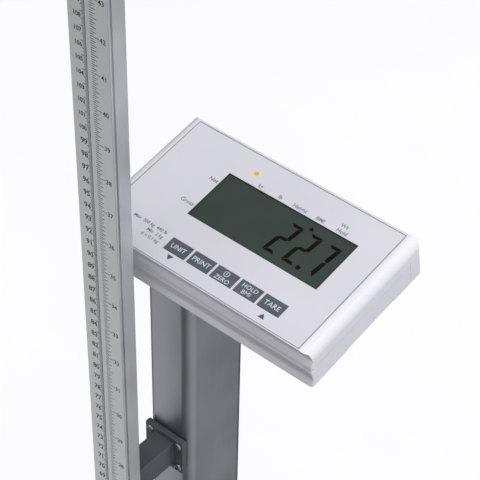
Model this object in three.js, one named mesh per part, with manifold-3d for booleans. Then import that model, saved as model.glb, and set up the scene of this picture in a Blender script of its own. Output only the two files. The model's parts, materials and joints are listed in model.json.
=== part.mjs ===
// A physician scale: a low weighing platform with a column behind it, a tilting display head on
// the column, and a telescopic height rod with a folding measuring plate.
// Millimetres. +X is the reader's right, -Y faces the person on the platform, +Z is up.
// The floor is z = 0 and the origin is the middle of the footprint.
import * as THREE from 'three';
import { mergeVertices } from 'three/addons/utils/BufferGeometryUtils.js';
import Module from 'manifold-3d';

const wasm = await Module();
wasm.setup();

// ---- driving dimensions ----

const GAP = 0.3;                    // air between two pieces that touch
const RUN = 3;                      // how far a cutting tool runs past the face that it opens

// Base: a steel pan on four feet, a platform tray on load cells, a moulded rear deck.
const BASE_WIDTH = 365;
const BASE_DEPTH = 480;
const PLATFORM_DEPTH = 364;
const PLATFORM_TOP = 80;
const BASE_CORNER = 24;
const MAT_THICKNESS = 3.2;
const TRAY_SKIN = 4;
const TRAY_WALL = 3;
const SKIRT_BOTTOM = 46;            // lower edge of the tray and of the rear deck
const PAN_BOTTOM = 22;
const PAN_FLOOR = 4;
const PAN_WALL = 3;
const PAN_TOP = 42;
const PAN_INSET = 6;                // pan edge to base edge
const PAN_CORNER = 22;
const FOOT_RADIUS = 20;
const FOOT_PAD = 10;
const STUD_RADIUS = 5;
const STUD_TOP = 44;
const FOOT_NUT = { radius: 9, height: 5 };
const FEET = [[-140, -200], [140, -200], [-118, 172], [118, 172]];
const CELL = { length: 120, width: 30, arm: 35, beam: 22, eyeHalf: 18, eyeHeight: 7, eyeCorner: 6.5 };
const CELLS = [[-95, -140], [95, -140], [-95, 50], [95, 50]];
const WHEEL = { radius: 25, width: 16, x: 160, y: 213, z: 35, axle: 4, nut: 8, nutHeight: 7.5 };
const WHEEL_NOTCH = { x: 148, y: 184 };
const LEVEL = { x: 105, y: 182, radius: 10, depth: 6, rim: 3 };
const DECK = { skin: 3, bootWall: 8, bootHeight: 20, postX: 88, postY: [145, 222] };

// Column: one extruded aluminium tube on a steel socket.
const COLUMN = { width: 40, depth: 60, corner: 8, wall: 3, y: 185, top: 915 };
const SOCKET = { width: 120, depth: 92, thickness: 8, spigotTop: 150, wall: 4, boltX: 48, boltY: 36 };
const BOLT = { radius: 4, headRadius: 6.5, headHeight: 8 };

// Height rod: a fixed extrusion, an inner bar that telescopes, a carriage and a folding plate.
const ROD = { width: 32, depth: 13.8, front: 95, bottom: 450, top: 1310 };
const GROOVE = { start: 1.6, width: 1.4, depth: 1.6 };
const BORE = { width: 25, depth: 7.4, start: 4.6 };
const BAR_PLAY = 0.3;
const BAR_START = 470;              // lower end of the inner bar at rest
const END_BLOCK = 45.4;             // length of the outer rod's section fixed round the bar's top
const STANDOFFS = [500, 755];
const LOCK = { z: 1285, screw: 2.5, knob: 9.5, knobRoot: 8.2, knobDepth: 9 };
const CARRIAGE = { front: 87, half: 20, bottom: 1311, top: 1355.7, play: 0.4, knuckle: 5.5, lug: 4 };
const PLATE_PIN = { y: 80.5, z: 1317, radius: 2 };
const PLATE = { half: 42, reach: -112, thickness: 5, bottom: 1311.5 };

// Head: a slab of constant thickness, 11 degrees off level, on a friction hinge.
// Its own frame has u to the right, v up the slope and n out of the panel, with the origin
// at the middle of the display window.
const HEAD = { x: 66.6, y: 181, z: 985, tilt: 11.13 };
const SLAB = { left: -107.7, right: 80.6, front: -62.4, back: 47.4, thickness: 31.7 };
const SPLIT = 15.8;                 // parting line, below the panel
const ROLL = 8.6;                   // radius of the left and right top edges
const SHELL = 2.5;
const PANEL = { left: -99, right: 72.1, front: -61.6, back: 44.6, thickness: 0.4 };
const DISPLAY = { width: 105.6, height: 42 };
const KEY = { width: 16.9, height: 10.1, pitch: 19.16, first: -37.9, v: -45.8, proud: 0.1 };
const KEY_NAMES = ['unit', 'print', 'zero', 'hold', 'tare'];
const LAMP = { u: -37.8, v: 30.4, radius: 2.35 };
const REAR = { start: 36, top: -11, bottom: -30 };   // rear cover, round the back of the slab
const DOOR = { left: 14, front: -28, back: 18, thickness: 1.8, recess: 2.2 };
const WELL = { left: 17, right: 69, front: -25, back: 15 };
const SCREWS = [[-95, -50], [-95, 28], [70, -50], [72, 28]];
const SCREW = { head: 3.2, shank: 1.4, thread: 1.7 };
const PORT = { left: -60, right: -30, bottom: -25, top: -16 };
const TILT_PIN = { z: 932, radius: 4 };
const LUG = { left: 24, right: 68, thickness: 4, radius: 12 };
const KNOB = { radius: 13.5, root: 12, depth: 11 };

// ---- materials ----

function finish(color, roughness, metalness) {
  return new THREE.MeshStandardMaterial({ color, roughness, metalness });
}

const steel = () => finish(0x8d9196, 0.4, 1);
const paintedSteel = () => finish(0xd3d2d8, 0.6, 0);
const aluminium = () => finish(0xa6a7ac, 0.35, 1);
const darkAluminium = () => finish(0x85888f, 0.4, 1);
const lightPlastic = () => finish(0xe6e5ed, 0.5, 0);
const darkPlastic = () => finish(0x54595f, 0.55, 0);
const rubber = () => finish(0x2b2c2e, 0.9, 0);
const circuitBoard = () => finish(0x1f5a3a, 0.5, 0);

// ---- shape tools ----

// A closed outline from counter-clockwise corners [x, y, radius]; a corner without a radius
// stays sharp.
function outline(corners) {
  const shape = new THREE.Shape();
  const count = corners.length;
  corners.forEach(([x, y, radius = 0], i) => {
    const corner = new THREE.Vector2(x, y);
    if (radius === 0) {
      if (i === 0) shape.moveTo(x, y);
      else shape.lineTo(x, y);
      return;
    }
    const last = corners[(i + count - 1) % count];
    const next = corners[(i + 1) % count];
    const toLast = new THREE.Vector2(last[0], last[1]).sub(corner).normalize();
    const toNext = new THREE.Vector2(next[0], next[1]).sub(corner).normalize();
    const half = Math.acos(toLast.dot(toNext)) / 2;
    const start = corner.clone().addScaledVector(toLast, radius / Math.tan(half));
    const end = corner.clone().addScaledVector(toNext, radius / Math.tan(half));
    const bisector = toLast.clone().add(toNext).normalize();
    const centre = corner.clone().addScaledVector(bisector, radius / Math.sin(half));
    if (i === 0) shape.moveTo(start.x, start.y);
    const from = start.sub(centre).angle();
    const to = end.sub(centre).angle();
    shape.absarc(centre.x, centre.y, radius, from, to, toLast.cross(toNext) > 0);
  });
  return shape;
}

function rectangle(x0, x1, y0, y1, radius = 0) {
  return outline([[x0, y0, radius], [x1, y0, radius], [x1, y1, radius], [x0, y1, radius]]);
}

// Extrusions along each axis. Along X the outline is in (y, z), along Y in (x, z).
function alongZ(shape, z0, z1, curveSegments = 4) {
  const geometry = new THREE.ExtrudeGeometry(shape, {
    depth: z1 - z0,
    bevelEnabled: false,
    curveSegments,
  });
  return geometry.translate(0, 0, z0);
}

function alongX(shape, x0, x1, curveSegments = 4) {
  const turn = new THREE.Matrix4().set(0, 0, 1, 0, 1, 0, 0, 0, 0, 1, 0, 0, 0, 0, 0, 1);
  return alongZ(shape, x0, x1, curveSegments).applyMatrix4(turn);
}

function alongY(shape, y0, y1, curveSegments = 4) {
  return alongZ(shape, -y1, -y0, curveSegments).rotateX(Math.PI / 2);
}

function block(x0, x1, y0, y1, z0, z1) {
  const geometry = new THREE.BoxGeometry(x1 - x0, y1 - y0, z1 - z0);
  return geometry.translate((x0 + x1) / 2, (y0 + y1) / 2, (z0 + z1) / 2);
}

function rodZ(radius, z0, z1, x = 0, y = 0, sides = 12) {
  const geometry = new THREE.CylinderGeometry(radius, radius, z1 - z0, sides);
  return geometry.rotateX(Math.PI / 2).translate(x, y, (z0 + z1) / 2);
}

function rodX(radius, x0, x1, y = 0, z = 0, sides = 12) {
  const geometry = new THREE.CylinderGeometry(radius, radius, x1 - x0, sides);
  return geometry.rotateZ(Math.PI / 2).translate((x0 + x1) / 2, y, z);
}

function rodY(radius, y0, y1, x = 0, z = 0, sides = 12) {
  const geometry = new THREE.CylinderGeometry(radius, radius, y1 - y0, sides);
  return geometry.translate(x, (y0 + y1) / 2, z);
}

// ---- joining and cutting ----

function toSolid(geometry) {
  const bare = geometry.clone();
  bare.deleteAttribute('normal');
  bare.deleteAttribute('uv');
  const merged = mergeVertices(bare);
  return new wasm.Manifold(new wasm.Mesh({
    numProp: 3,
    vertProperties: new Float32Array(merged.attributes.position.array),
    triVerts: new Uint32Array(merged.index.array),
  }));
}

function toGeometry(solid) {
  const mesh = solid.getMesh();
  const geometry = new THREE.BufferGeometry();
  geometry.setAttribute('position', new THREE.BufferAttribute(mesh.vertProperties, 3));
  geometry.setIndex(new THREE.BufferAttribute(mesh.triVerts, 1));
  return geometry;
}

function join(first, ...others) {
  return toGeometry(others.reduce((sum, g) => sum.add(toSolid(g)), toSolid(first)));
}

function cut(first, ...tools) {
  return toGeometry(tools.reduce((rest, g) => rest.subtract(toSolid(g)), toSolid(first)));
}

function common(first, ...others) {
  return toGeometry(others.reduce((rest, g) => rest.intersect(toSolid(g)), toSolid(first)));
}

// ---- base ----

const HALF_WIDTH = BASE_WIDTH / 2;
const HALF_DEPTH = BASE_DEPTH / 2;
const TRAY_TOP = PLATFORM_TOP - MAT_THICKNESS - GAP;
const TRAY_BACK = PLATFORM_DEPTH - HALF_DEPTH;
const PAN_INSIDE = PAN_BOTTOM + PAN_FLOOR;

function panPlan(inset) {
  const x = HALF_WIDTH - PAN_INSET - inset;
  const y = HALF_DEPTH - PAN_INSET - inset;
  const notchX = WHEEL_NOTCH.x - inset;
  const notchY = WHEEL_NOTCH.y - inset;
  return outline([
    [-x, -y, PAN_CORNER], [x, -y, PAN_CORNER], [x, notchY], [notchX, notchY],
    [notchX, y], [-notchX, y], [-notchX, notchY], [-x, notchY],
  ]);
}

function boltPlaces() {
  return [-1, 1].flatMap((sx) => [-1, 1].map((sy) => [
    sx * SOCKET.boltX,
    COLUMN.y + sy * SOCKET.boltY,
  ]));
}

function baseFrame() {
  const pan = cut(
    alongZ(panPlan(0), PAN_BOTTOM, PAN_TOP),
    alongZ(panPlan(PAN_WALL), PAN_INSIDE, PAN_TOP + RUN),
  );
  const studs = FEET.map(([x, y]) => rodZ(STUD_RADIUS + GAP, 0, PAN_TOP, x, y));
  const bolts = boltPlaces().map(([x, y]) => rodZ(BOLT.radius + GAP, 0, PAN_TOP, x, y));
  const half = WHEEL_NOTCH.x + RUN;
  const axles = rodX(WHEEL.axle + GAP, -half, half, WHEEL.y, WHEEL.z);
  return cut(pan, ...studs, ...bolts, axles);
}

function platformTray() {
  const back = TRAY_BACK;
  const plan = outline([
    [-HALF_WIDTH, -HALF_DEPTH, BASE_CORNER], [HALF_WIDTH, -HALF_DEPTH, BASE_CORNER],
    [HALF_WIDTH, back, 4], [-HALF_WIDTH, back, 4],
  ]);
  const x = HALF_WIDTH - TRAY_WALL;
  const front = TRAY_WALL - HALF_DEPTH;
  const corner = BASE_CORNER - TRAY_WALL;
  const hollow = outline([
    [-x, front, corner], [x, front, corner], [x, back - TRAY_WALL], [-x, back - TRAY_WALL],
  ]);
  return cut(
    alongZ(plan, SKIRT_BOTTOM, TRAY_TOP),
    alongZ(hollow, SKIRT_BOTTOM - RUN, TRAY_TOP - TRAY_SKIN),
  );
}

function platformMat() {
  const margin = 6;
  const x = HALF_WIDTH - margin;
  const plan = rectangle(-x, x, margin - HALF_DEPTH, TRAY_BACK - margin, BASE_CORNER - margin);
  return alongZ(plan, PLATFORM_TOP - MAT_THICKNESS, PLATFORM_TOP);
}

// A bending-beam cell: bolted down at its back arm, carrying the tray on its front arm.
function loadCell() {
  const end = CELL.length / 2;
  const shoulder = end - CELL.arm;
  const low = PAN_INSIDE + GAP;
  const high = TRAY_TOP - TRAY_SKIN - GAP;
  const middle = (low + high) / 2;
  const under = middle - CELL.beam / 2;
  const over = middle + CELL.beam / 2;
  const profile = outline([
    [-end, low], [-shoulder, low], [-shoulder, under], [end, under],
    [end, high], [shoulder, high], [shoulder, over], [-end, over],
  ]);
  profile.holes.push(rectangle(
    -CELL.eyeHalf, CELL.eyeHalf, middle - CELL.eyeHeight, middle + CELL.eyeHeight, CELL.eyeCorner,
  ));
  return alongX(profile, -CELL.width / 2, CELL.width / 2, 3);
}

function junctionBoard() {
  const low = PAN_INSIDE + GAP;
  const board = low + 8;
  const sheet = block(-45, 45, -30, 30, board, board + 1.6);
  const posts = [-38, 38].flatMap((x) => [-24, 24].map((y) => rodZ(3, low, board + 1, x, y)));
  const terminals = block(-40, 40, 12, 22, board + 1, board + 10);
  const chip = block(-8, 8, -16, 0, board + 1, board + 4);
  return join(sheet, ...posts, terminals, chip);
}

function columnSocket() {
  const bottom = PAN_INSIDE + GAP;
  const top = bottom + SOCKET.thickness;
  const flange = alongZ(
    rectangle(-SOCKET.width / 2, SOCKET.width / 2, -SOCKET.depth / 2, SOCKET.depth / 2, 6),
    bottom,
    top,
  );
  const x = COLUMN.width / 2 - COLUMN.wall - GAP;
  const y = COLUMN.depth / 2 - COLUMN.wall - GAP;
  const { wall } = SOCKET;
  const corner = COLUMN.corner - COLUMN.wall;
  const spigot = alongZ(rectangle(-x, x, -y, y, corner), bottom, SOCKET.spigotTop, 3);
  const hollow = alongZ(
    rectangle(wall - x, x - wall, wall - y, y - wall, 2),
    top,
    SOCKET.spigotTop + RUN,
    2,
  );
  const holes = boltPlaces().map(([bx, by]) => (
    rodZ(BOLT.radius + GAP, 0, top + RUN, bx, by - COLUMN.y)
  ));
  return cut(join(flange, spigot), hollow, ...holes);
}

function socketBolt() {
  const seat = PAN_INSIDE + GAP + SOCKET.thickness + GAP;
  return join(
    rodZ(BOLT.radius, PAN_BOTTOM - 2, seat + 1),
    rodZ(BOLT.headRadius, seat, seat + BOLT.headHeight, 0, 0, 16),
  );
}

// The moulded deck round the column's foot, with a boot, posts to the pan and the level's well.
function rearDeck() {
  const front = TRAY_BACK + 1;
  const { skin, bootWall, bootHeight } = DECK;
  const plan = outline([
    [-HALF_WIDTH, front, 4], [HALF_WIDTH, front, 4],
    [HALF_WIDTH, HALF_DEPTH, BASE_CORNER], [-HALF_WIDTH, HALF_DEPTH, BASE_CORNER],
  ]);
  const x = HALF_WIDTH - skin;
  const back = HALF_DEPTH - skin;
  const corner = BASE_CORNER - skin;
  const inside = outline([
    [-x, front + skin], [x, front + skin], [x, back, corner], [-x, back, corner],
  ]);
  const shell = cut(
    alongZ(plan, SKIRT_BOTTOM, TRAY_TOP),
    alongZ(inside, SKIRT_BOTTOM - RUN, TRAY_TOP - skin),
  );
  const halfX = COLUMN.width / 2;
  const halfY = COLUMN.depth / 2;
  const boot = alongZ(
    rectangle(-halfX - bootWall, halfX + bootWall, COLUMN.y - halfY - bootWall,
      COLUMN.y + halfY + bootWall, COLUMN.corner + bootWall),
    TRAY_TOP - 1,
    TRAY_TOP + bootHeight,
  );
  const clearX = halfX + 0.5;
  const clearY = halfY + 0.5;
  const passage = alongZ(
    rectangle(-clearX, clearX, COLUMN.y - clearY, COLUMN.y + clearY, COLUMN.corner),
    SKIRT_BOTTOM - RUN,
    TRAY_TOP + bootHeight + RUN,
  );
  const posts = [-DECK.postX, DECK.postX].flatMap((px) => DECK.postY.map((py) => (
    rodZ(5, PAN_INSIDE + GAP, TRAY_TOP - 1, px, py, 16)
  )));
  const well = rodZ(LEVEL.radius + GAP, SKIRT_BOTTOM, TRAY_TOP + RUN, LEVEL.x, LEVEL.y, 24);
  const rim = cut(
    rodZ(LEVEL.radius + LEVEL.rim, TRAY_TOP - 1, TRAY_TOP + 1.5, LEVEL.x, LEVEL.y, 24),
    well,
  );
  return join(cut(join(shell, boot), passage, well), ...posts, rim);
}

function levelVial() {
  return rodZ(LEVEL.radius, TRAY_TOP - LEVEL.depth, TRAY_TOP + 0.8, 0, 0, 24);
}

function wheel() {
  const half = WHEEL.width / 2;
  const hub = WHEEL.axle + GAP;
  const profile = [
    [hub, -half], [9, -half], [10, -half + 3], [WHEEL.radius - 6, -half + 3],
    [WHEEL.radius - 5, -half], [WHEEL.radius - 2, -half], [WHEEL.radius, -half + 3],
    [WHEEL.radius, half - 3], [WHEEL.radius - 2, half], [WHEEL.radius - 5, half],
    [WHEEL.radius - 6, half - 3], [10, half - 3], [9, half], [hub, half], [hub, -half],
  ];
  const points = profile.map(([r, z]) => new THREE.Vector2(r, z));
  return new THREE.LatheGeometry(points, 20).rotateZ(-Math.PI / 2);
}

// A shoulder bolt through the pan's side; it points to +X here and is turned round on the left.
function wheelAxle() {
  const inner = WHEEL_NOTCH.x - PAN_WALL - WHEEL.nutHeight - 0.5 - WHEEL.x;
  const outer = WHEEL.width / 2 + 1;
  const nut = rodX(WHEEL.nut, inner, inner + WHEEL.nutHeight, 0, 0, 6);
  return join(nut, rodX(WHEEL.axle, inner, outer + 1), rodX(WHEEL.nut, outer, outer + 3));
}

function levellingFoot() {
  const pad = new THREE.LatheGeometry([
    new THREE.Vector2(0, 0), new THREE.Vector2(FOOT_RADIUS - 1, 0),
    new THREE.Vector2(FOOT_RADIUS, 1), new THREE.Vector2(FOOT_RADIUS, 4),
    new THREE.Vector2(9, FOOT_PAD), new THREE.Vector2(0, FOOT_PAD),
  ], 20).rotateX(Math.PI / 2);
  return join(
    pad,
    rodZ(STUD_RADIUS, FOOT_PAD - 2, STUD_TOP),
    rodZ(FOOT_NUT.radius, FOOT_PAD - 1, FOOT_PAD + FOOT_NUT.height, 0, 0, 6),
  );
}

// ---- column ----

function columnTube() {
  const x = COLUMN.width / 2;
  const y = COLUMN.depth / 2;
  const wall = COLUMN.wall;
  const section = rectangle(-x, x, -y, y, COLUMN.corner);
  section.holes.push(rectangle(wall - x, x - wall, wall - y, y - wall, COLUMN.corner - wall));
  const foot = PAN_INSIDE + GAP + SOCKET.thickness + GAP;
  return alongZ(section, foot, COLUMN.top);
}

// An upright ear with a round end about a pin at (y, z) = (0, 0), standing on z = low.
function ear(radius, low) {
  const sides = 10;
  const shape = new THREE.Shape();
  shape.moveTo(-radius, low);
  shape.lineTo(radius, low);
  for (let i = 0; i <= sides; i += 1) {
    const angle = (Math.PI * i) / sides;
    shape.lineTo(radius * Math.cos(angle), radius * Math.sin(angle));
  }
  shape.closePath();
  return shape;
}

function headBracket() {
  const base = COLUMN.top + GAP;
  const plate = 4;
  const x = COLUMN.width / 2;
  const y = COLUMN.depth / 2;
  const inner = COLUMN.wall + GAP;
  const section = rectangle(-x, x, COLUMN.y - y, COLUMN.y + y, COLUMN.corner);
  const cap = alongZ(section, base, base + plate);
  const spigot = alongZ(
    rectangle(
      inner - x, x - inner, COLUMN.y - y + inner, COLUMN.y + y - inner,
      COLUMN.corner - COLUMN.wall,
    ),
    base - 35,
    base + 1,
  );
  const arm = block(0, LUG.right, HEAD.y - 18, HEAD.y + 18, base, base + plate);
  const lugAt = (left) => alongX(ear(LUG.radius, base + 1 - TILT_PIN.z), left, left + LUG.thickness)
    .translate(0, HEAD.y, TILT_PIN.z);
  const bore = rodX(TILT_PIN.radius + GAP, 0, LUG.right + RUN, HEAD.y, TILT_PIN.z);
  const lugs = [lugAt(LUG.left), lugAt(LUG.right - LUG.thickness)];
  return cut(join(cap, spigot, arm, ...lugs), bore);
}

function tiltPin() {
  return rodX(TILT_PIN.radius, LUG.left - 3, LUG.right + 1);
}

// The outline of a knob with grips round its edge.
function gripped(radius, root, grips) {
  const points = 2 * grips;
  const shape = new THREE.Shape();
  for (let i = 0; i < points; i += 1) {
    const angle = (Math.PI * i) / grips;
    const reach = i % 2 ? root : radius;
    if (i === 0) shape.moveTo(reach, 0);
    else shape.lineTo(reach * Math.cos(angle), reach * Math.sin(angle));
  }
  shape.closePath();
  return shape;
}

function tiltKnob() {
  return alongX(gripped(KNOB.radius, KNOB.root, 8), 0, KNOB.depth);
}

// ---- height rod ----

// The section of the rod: flat front, with a guide groove in each side just behind it.
function rodSection() {
  const x = ROD.width / 2;
  const neck = x - GROOVE.depth;
  const front = ROD.front;
  const lip = front + GROOVE.start;
  const floor = lip + GROOVE.width;
  const back = front + ROD.depth;
  return outline([
    [-x, front, 0.5], [x, front, 0.5], [x, lip], [neck, lip], [neck, floor], [x, floor],
    [x, back, 1], [-x, back, 1], [-x, floor], [-neck, floor], [-neck, lip], [-x, lip],
  ]);
}

function rodLength(z0, z1) {
  const section = rodSection();
  const y = ROD.front + BORE.start;
  section.holes.push(rectangle(-BORE.width / 2, BORE.width / 2, y, y + BORE.depth));
  return alongZ(section, z0, z1, 2);
}

function rodOuter() {
  const back = ROD.front + ROD.depth;
  const lockHole = rodY(LOCK.screw + GAP, back - RUN, back + RUN, 0, LOCK.z, 16);
  return cut(rodLength(ROD.bottom, ROD.top), lockHole);
}

function rodInner() {
  const x = BORE.width / 2 - BAR_PLAY;
  const y = ROD.front + BORE.start + BAR_PLAY;
  return block(-x, x, y, y + BORE.depth - 2 * BAR_PLAY, BAR_START, ROD.top + END_BLOCK);
}

// A short length of the outer rod's section, fixed round the inner bar's top.
function rodEndBlock() {
  return rodLength(ROD.top + GAP, ROD.top + GAP + END_BLOCK);
}

function rodBottomCap() {
  const x = ROD.width / 2 + 1;
  const plan = rectangle(-x, x, ROD.front - 1, ROD.front + ROD.depth + 1, 2);
  return alongZ(plan, ROD.bottom - 4.3, ROD.bottom - GAP);
}

function rodTopCap() {
  const bottom = ROD.top + 2 * GAP + END_BLOCK;
  const x = CARRIAGE.half;
  const plan = rectangle(-x, x, CARRIAGE.front + 2, ROD.front + ROD.depth + 1, 2);
  return alongZ(plan, bottom, bottom + 4);
}

// A standoff between the rod's back and the column's front.
function rodStandoff() {
  const rodBack = ROD.front + ROD.depth + GAP;
  const columnFront = COLUMN.y - COLUMN.depth / 2 - GAP;
  return join(
    block(-13, 13, rodBack, rodBack + 5, -16, 16),
    block(-9, 9, rodBack + 1, columnFront - 1, -11, 11),
    block(-18, 18, columnFront - 5, columnFront, -16, 16),
  );
}

function lockScrew() {
  const back = ROD.front + ROD.depth;
  const tip = ROD.front + BORE.start + BORE.depth;
  const knob = alongY(gripped(LOCK.knob, LOCK.knobRoot, 6), back + GAP, back + LOCK.knobDepth);
  return join(knob, rodY(LOCK.screw, tip, back + 2, 0, 0, 16)).translate(0, 0, LOCK.z);
}

function carriage() {
  const out = CARRIAGE.half;
  const x = ROD.width / 2 + CARRIAGE.play;
  const tip = x - GROOVE.depth;
  const inside = ROD.front - CARRIAGE.play;
  const lip = ROD.front + GROOVE.start + GAP;
  const back = ROD.front + GROOVE.start + GROOVE.width - GAP;
  const section = outline([
    [-out, CARRIAGE.front, 2], [out, CARRIAGE.front, 2], [out, back], [tip, back], [tip, lip],
    [x, lip], [x, inside], [-x, inside], [-x, lip], [-tip, lip], [-tip, back], [-out, back],
  ]);
  const body = alongZ(section, CARRIAGE.bottom, CARRIAGE.top, 3);
  const round = CARRIAGE.knuckle;
  const root = CARRIAGE.front + 1 - PLATE_PIN.y;
  const knuckle = new THREE.Shape();
  knuckle.absarc(0, 0, round, Math.PI / 2, -Math.PI / 2, false);
  knuckle.lineTo(root, -round);
  knuckle.lineTo(root, round);
  knuckle.closePath();
  const lugs = [-out, out - CARRIAGE.lug].map((left) => (
    alongX(knuckle, left, left + CARRIAGE.lug, 8).translate(0, PLATE_PIN.y, PLATE_PIN.z)
  ));
  const bore = rodX(PLATE_PIN.radius + GAP, -out - RUN, out + RUN, PLATE_PIN.y, PLATE_PIN.z, 16);
  return cut(join(body, ...lugs), bore);
}

function platePin() {
  return rodX(PLATE_PIN.radius, -CARRIAGE.half - 0.5, CARRIAGE.half + 0.5, 0, 0, 16);
}

// The measuring plate: a flat paddle with a rib on each side, on a knuckle between the lugs.
function headPlate() {
  const neck = CARRIAGE.half - CARRIAGE.lug - 0.5;
  const y = PLATE_PIN.y;
  const wide = PLATE.half;
  const plan = outline([
    [-neck, y], [-neck, y - 22], [-wide, y - 48, 12], [-wide, PLATE.reach, 18],
    [wide, PLATE.reach, 18], [wide, y - 48, 12], [neck, y - 22], [neck, y],
  ]);
  const paddle = alongZ(plan, PLATE.bottom, PLATE.bottom + PLATE.thickness, 4);
  const ribs = [-neck, neck - 3].map((x) => (
    block(x, x + 3, PLATE.reach + 30, y - 4, PLATE.bottom + 1, PLATE.bottom + PLATE.thickness + 5)
  ));
  const knuckle = rodX(CARRIAGE.knuckle, -neck, neck, y, PLATE_PIN.z, 24);
  const bore = rodX(PLATE_PIN.radius + GAP, -neck - RUN, neck + RUN, y, PLATE_PIN.z, 16);
  return cut(join(paddle, ...ribs, knuckle), bore);
}

// ---- display head, in its own frame (u, v, n) ----

const WALL = {
  left: SLAB.left + SHELL,
  right: SLAB.right - SHELL,
  front: SLAB.front + 4.4,
  back: SLAB.back - SHELL,
};
const BOTTOM = -SLAB.thickness;

function slabPlan(n0, n1) {
  const plan = rectangle(SLAB.left, SLAB.right, SLAB.front - 1, SLAB.back, 3);
  return alongZ(plan, n0, n1);
}

// Outer form of the upper shell: rolled side edges and a shallow groove along the front wall.
function upperForm() {
  const low = GAP / 2 - SPLIT;
  const side = outline([
    [SLAB.front, low], [SLAB.back, low], [SLAB.back, 0, 2.75], [SLAB.front, 0, 0.25],
    [SLAB.front + 2, -11],
  ]);
  const end = outline([
    [SLAB.left, low], [SLAB.right, low], [SLAB.right, 0, ROLL], [SLAB.left, 0, ROLL],
  ]);
  return common(
    alongX(side, SLAB.left, SLAB.right, 5),
    alongY(end, SLAB.front - 2, SLAB.back, 9),
    slabPlan(low, 1),
  );
}

function rearCut(clear) {
  return block(
    SLAB.left - RUN, SLAB.right + RUN, REAR.start - clear, SLAB.back + RUN,
    REAR.bottom - clear, REAR.top + clear,
  );
}

function keyPlaces() {
  return KEY_NAMES.map((name, i) => [name, KEY.first + i * KEY.pitch]);
}

function keyHoles(n0, n1) {
  const x = KEY.width / 2 + GAP;
  const y = KEY.height / 2 + GAP;
  return keyPlaces().map(([, u]) => block(u - x, u + x, KEY.v - y, KEY.v + y, n0, n1));
}

function topCover() {
  const skin = 2.6;
  const inside = alongY(
    outline([
      [WALL.left, BOTTOM], [WALL.right, BOTTOM], [WALL.right, -skin, 6], [WALL.left, -skin, 6],
    ]),
    WALL.front,
    WALL.back,
  );
  const recess = block(
    PANEL.left - GAP, PANEL.right + GAP, PANEL.front - 0.2, PANEL.back + GAP,
    -PANEL.thickness - GAP, 1,
  );
  const window = block(
    -DISPLAY.width / 2 - 1.2, DISPLAY.width / 2 + 1.2,
    -DISPLAY.height / 2 - 1.2, DISPLAY.height / 2 + 1.2, -4, 1,
  );
  const lampHole = rodZ(LAMP.radius + GAP, -4, 1, LAMP.u, LAMP.v);
  const shell = cut(upperForm(), inside, recess, window, lampHole, ...keyHoles(-4, 1), rearCut(0));
  const posts = SCREWS.map(([u, v]) => rodZ(4, BOTTOM + 3.1, -skin + 1, u, v, 16));
  const threads = SCREWS.map(([u, v]) => rodZ(SCREW.thread, BOTTOM, -16, u, v));
  return cut(join(shell, ...posts), ...threads);
}

// Outer form of the lower shell: an upright front face with a small flared lip at its foot.
function lowerForm() {
  const high = -GAP / 2 - SPLIT;
  const side = outline([
    [SLAB.front - 1, BOTTOM, 0.5], [SLAB.back, BOTTOM, 1.5], [SLAB.back, high],
    [SLAB.front, high], [SLAB.front, -27], [SLAB.front - 1, -28],
  ]);
  return common(alongX(side, SLAB.left, SLAB.right, 3), slabPlan(BOTTOM - 1, high));
}

function bottomHousing() {
  const floor = BOTTOM + 2.8;
  const inside = block(WALL.left, WALL.right, WALL.front, WALL.back, floor, 0);
  const thick = block(
    DOOR.left - 4, WALL.right + 1, DOOR.front - 3, DOOR.back + 3, floor - 1, floor + 2.4,
  );
  const recess = block(
    DOOR.left, SLAB.right + RUN, DOOR.front - GAP, DOOR.back + GAP,
    BOTTOM - 1, BOTTOM + DOOR.recess,
  );
  const well = block(WELL.left, WELL.right, WELL.front, WELL.back, BOTTOM - 1, floor + RUN);
  const shell = cut(join(cut(lowerForm(), inside), thick), recess, well, rearCut(0));
  const boardPosts = [[-80, -46], [-80, 24], [4, -46], [4, 24]].map(([u, v]) => (
    rodZ(3, floor - 1, -13, u, v)
  ));
  const heads = SCREWS.map(([u, v]) => rodZ(SCREW.head + GAP, BOTTOM - 1, BOTTOM + 2, u, v, 16));
  const shanks = SCREWS.map(([u, v]) => rodZ(SCREW.thread, BOTTOM - 1, floor + 1, u, v));
  return cut(join(shell, ...boardPosts), ...heads, ...shanks);
}

// The cover round the back, from one side wall to the other, with the port opening in it.
function rearCover() {
  const form = common(
    slabPlan(REAR.bottom + GAP, REAR.top - GAP),
    block(SLAB.left, SLAB.right, REAR.start + GAP, SLAB.back, REAR.bottom, REAR.top),
  );
  const inside = block(
    WALL.left, WALL.right, REAR.start - RUN, WALL.back, REAR.bottom + 3, REAR.top - 3,
  );
  const port = block(PORT.left, PORT.right, WALL.back - 1, SLAB.back + RUN, PORT.bottom, PORT.top);
  return cut(form, inside, port);
}

function overlayFilm() {
  const sheet = alongZ(
    rectangle(PANEL.left, PANEL.right, PANEL.front, PANEL.back, 1),
    -PANEL.thickness,
    0,
  );
  const window = block(
    -DISPLAY.width / 2, DISPLAY.width / 2, -DISPLAY.height / 2, DISPLAY.height / 2, -1, 1,
  );
  const lampHole = rodZ(LAMP.radius + GAP, -1, 1, LAMP.u, LAMP.v, 24);
  return cut(sheet, window, lampHole, ...keyHoles(-1, 1));
}

function displayLens() {
  const x = DISPLAY.width / 2 + 0.8;
  const y = DISPLAY.height / 2 + 0.8;
  return block(-x, x, -y, y, -1.2, -0.7);
}

function displayModule() {
  const x = DISPLAY.width / 2;
  const y = DISPLAY.height / 2;
  const glass = block(-x - 0.8, x + 0.8, -y - 0.8, y + 0.8, -5, -1.5);
  const frame = block(-x - 3.5, x + 3.5, -y - 3.5, y + 3.5, -9, -3);
  return join(glass, frame);
}

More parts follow.
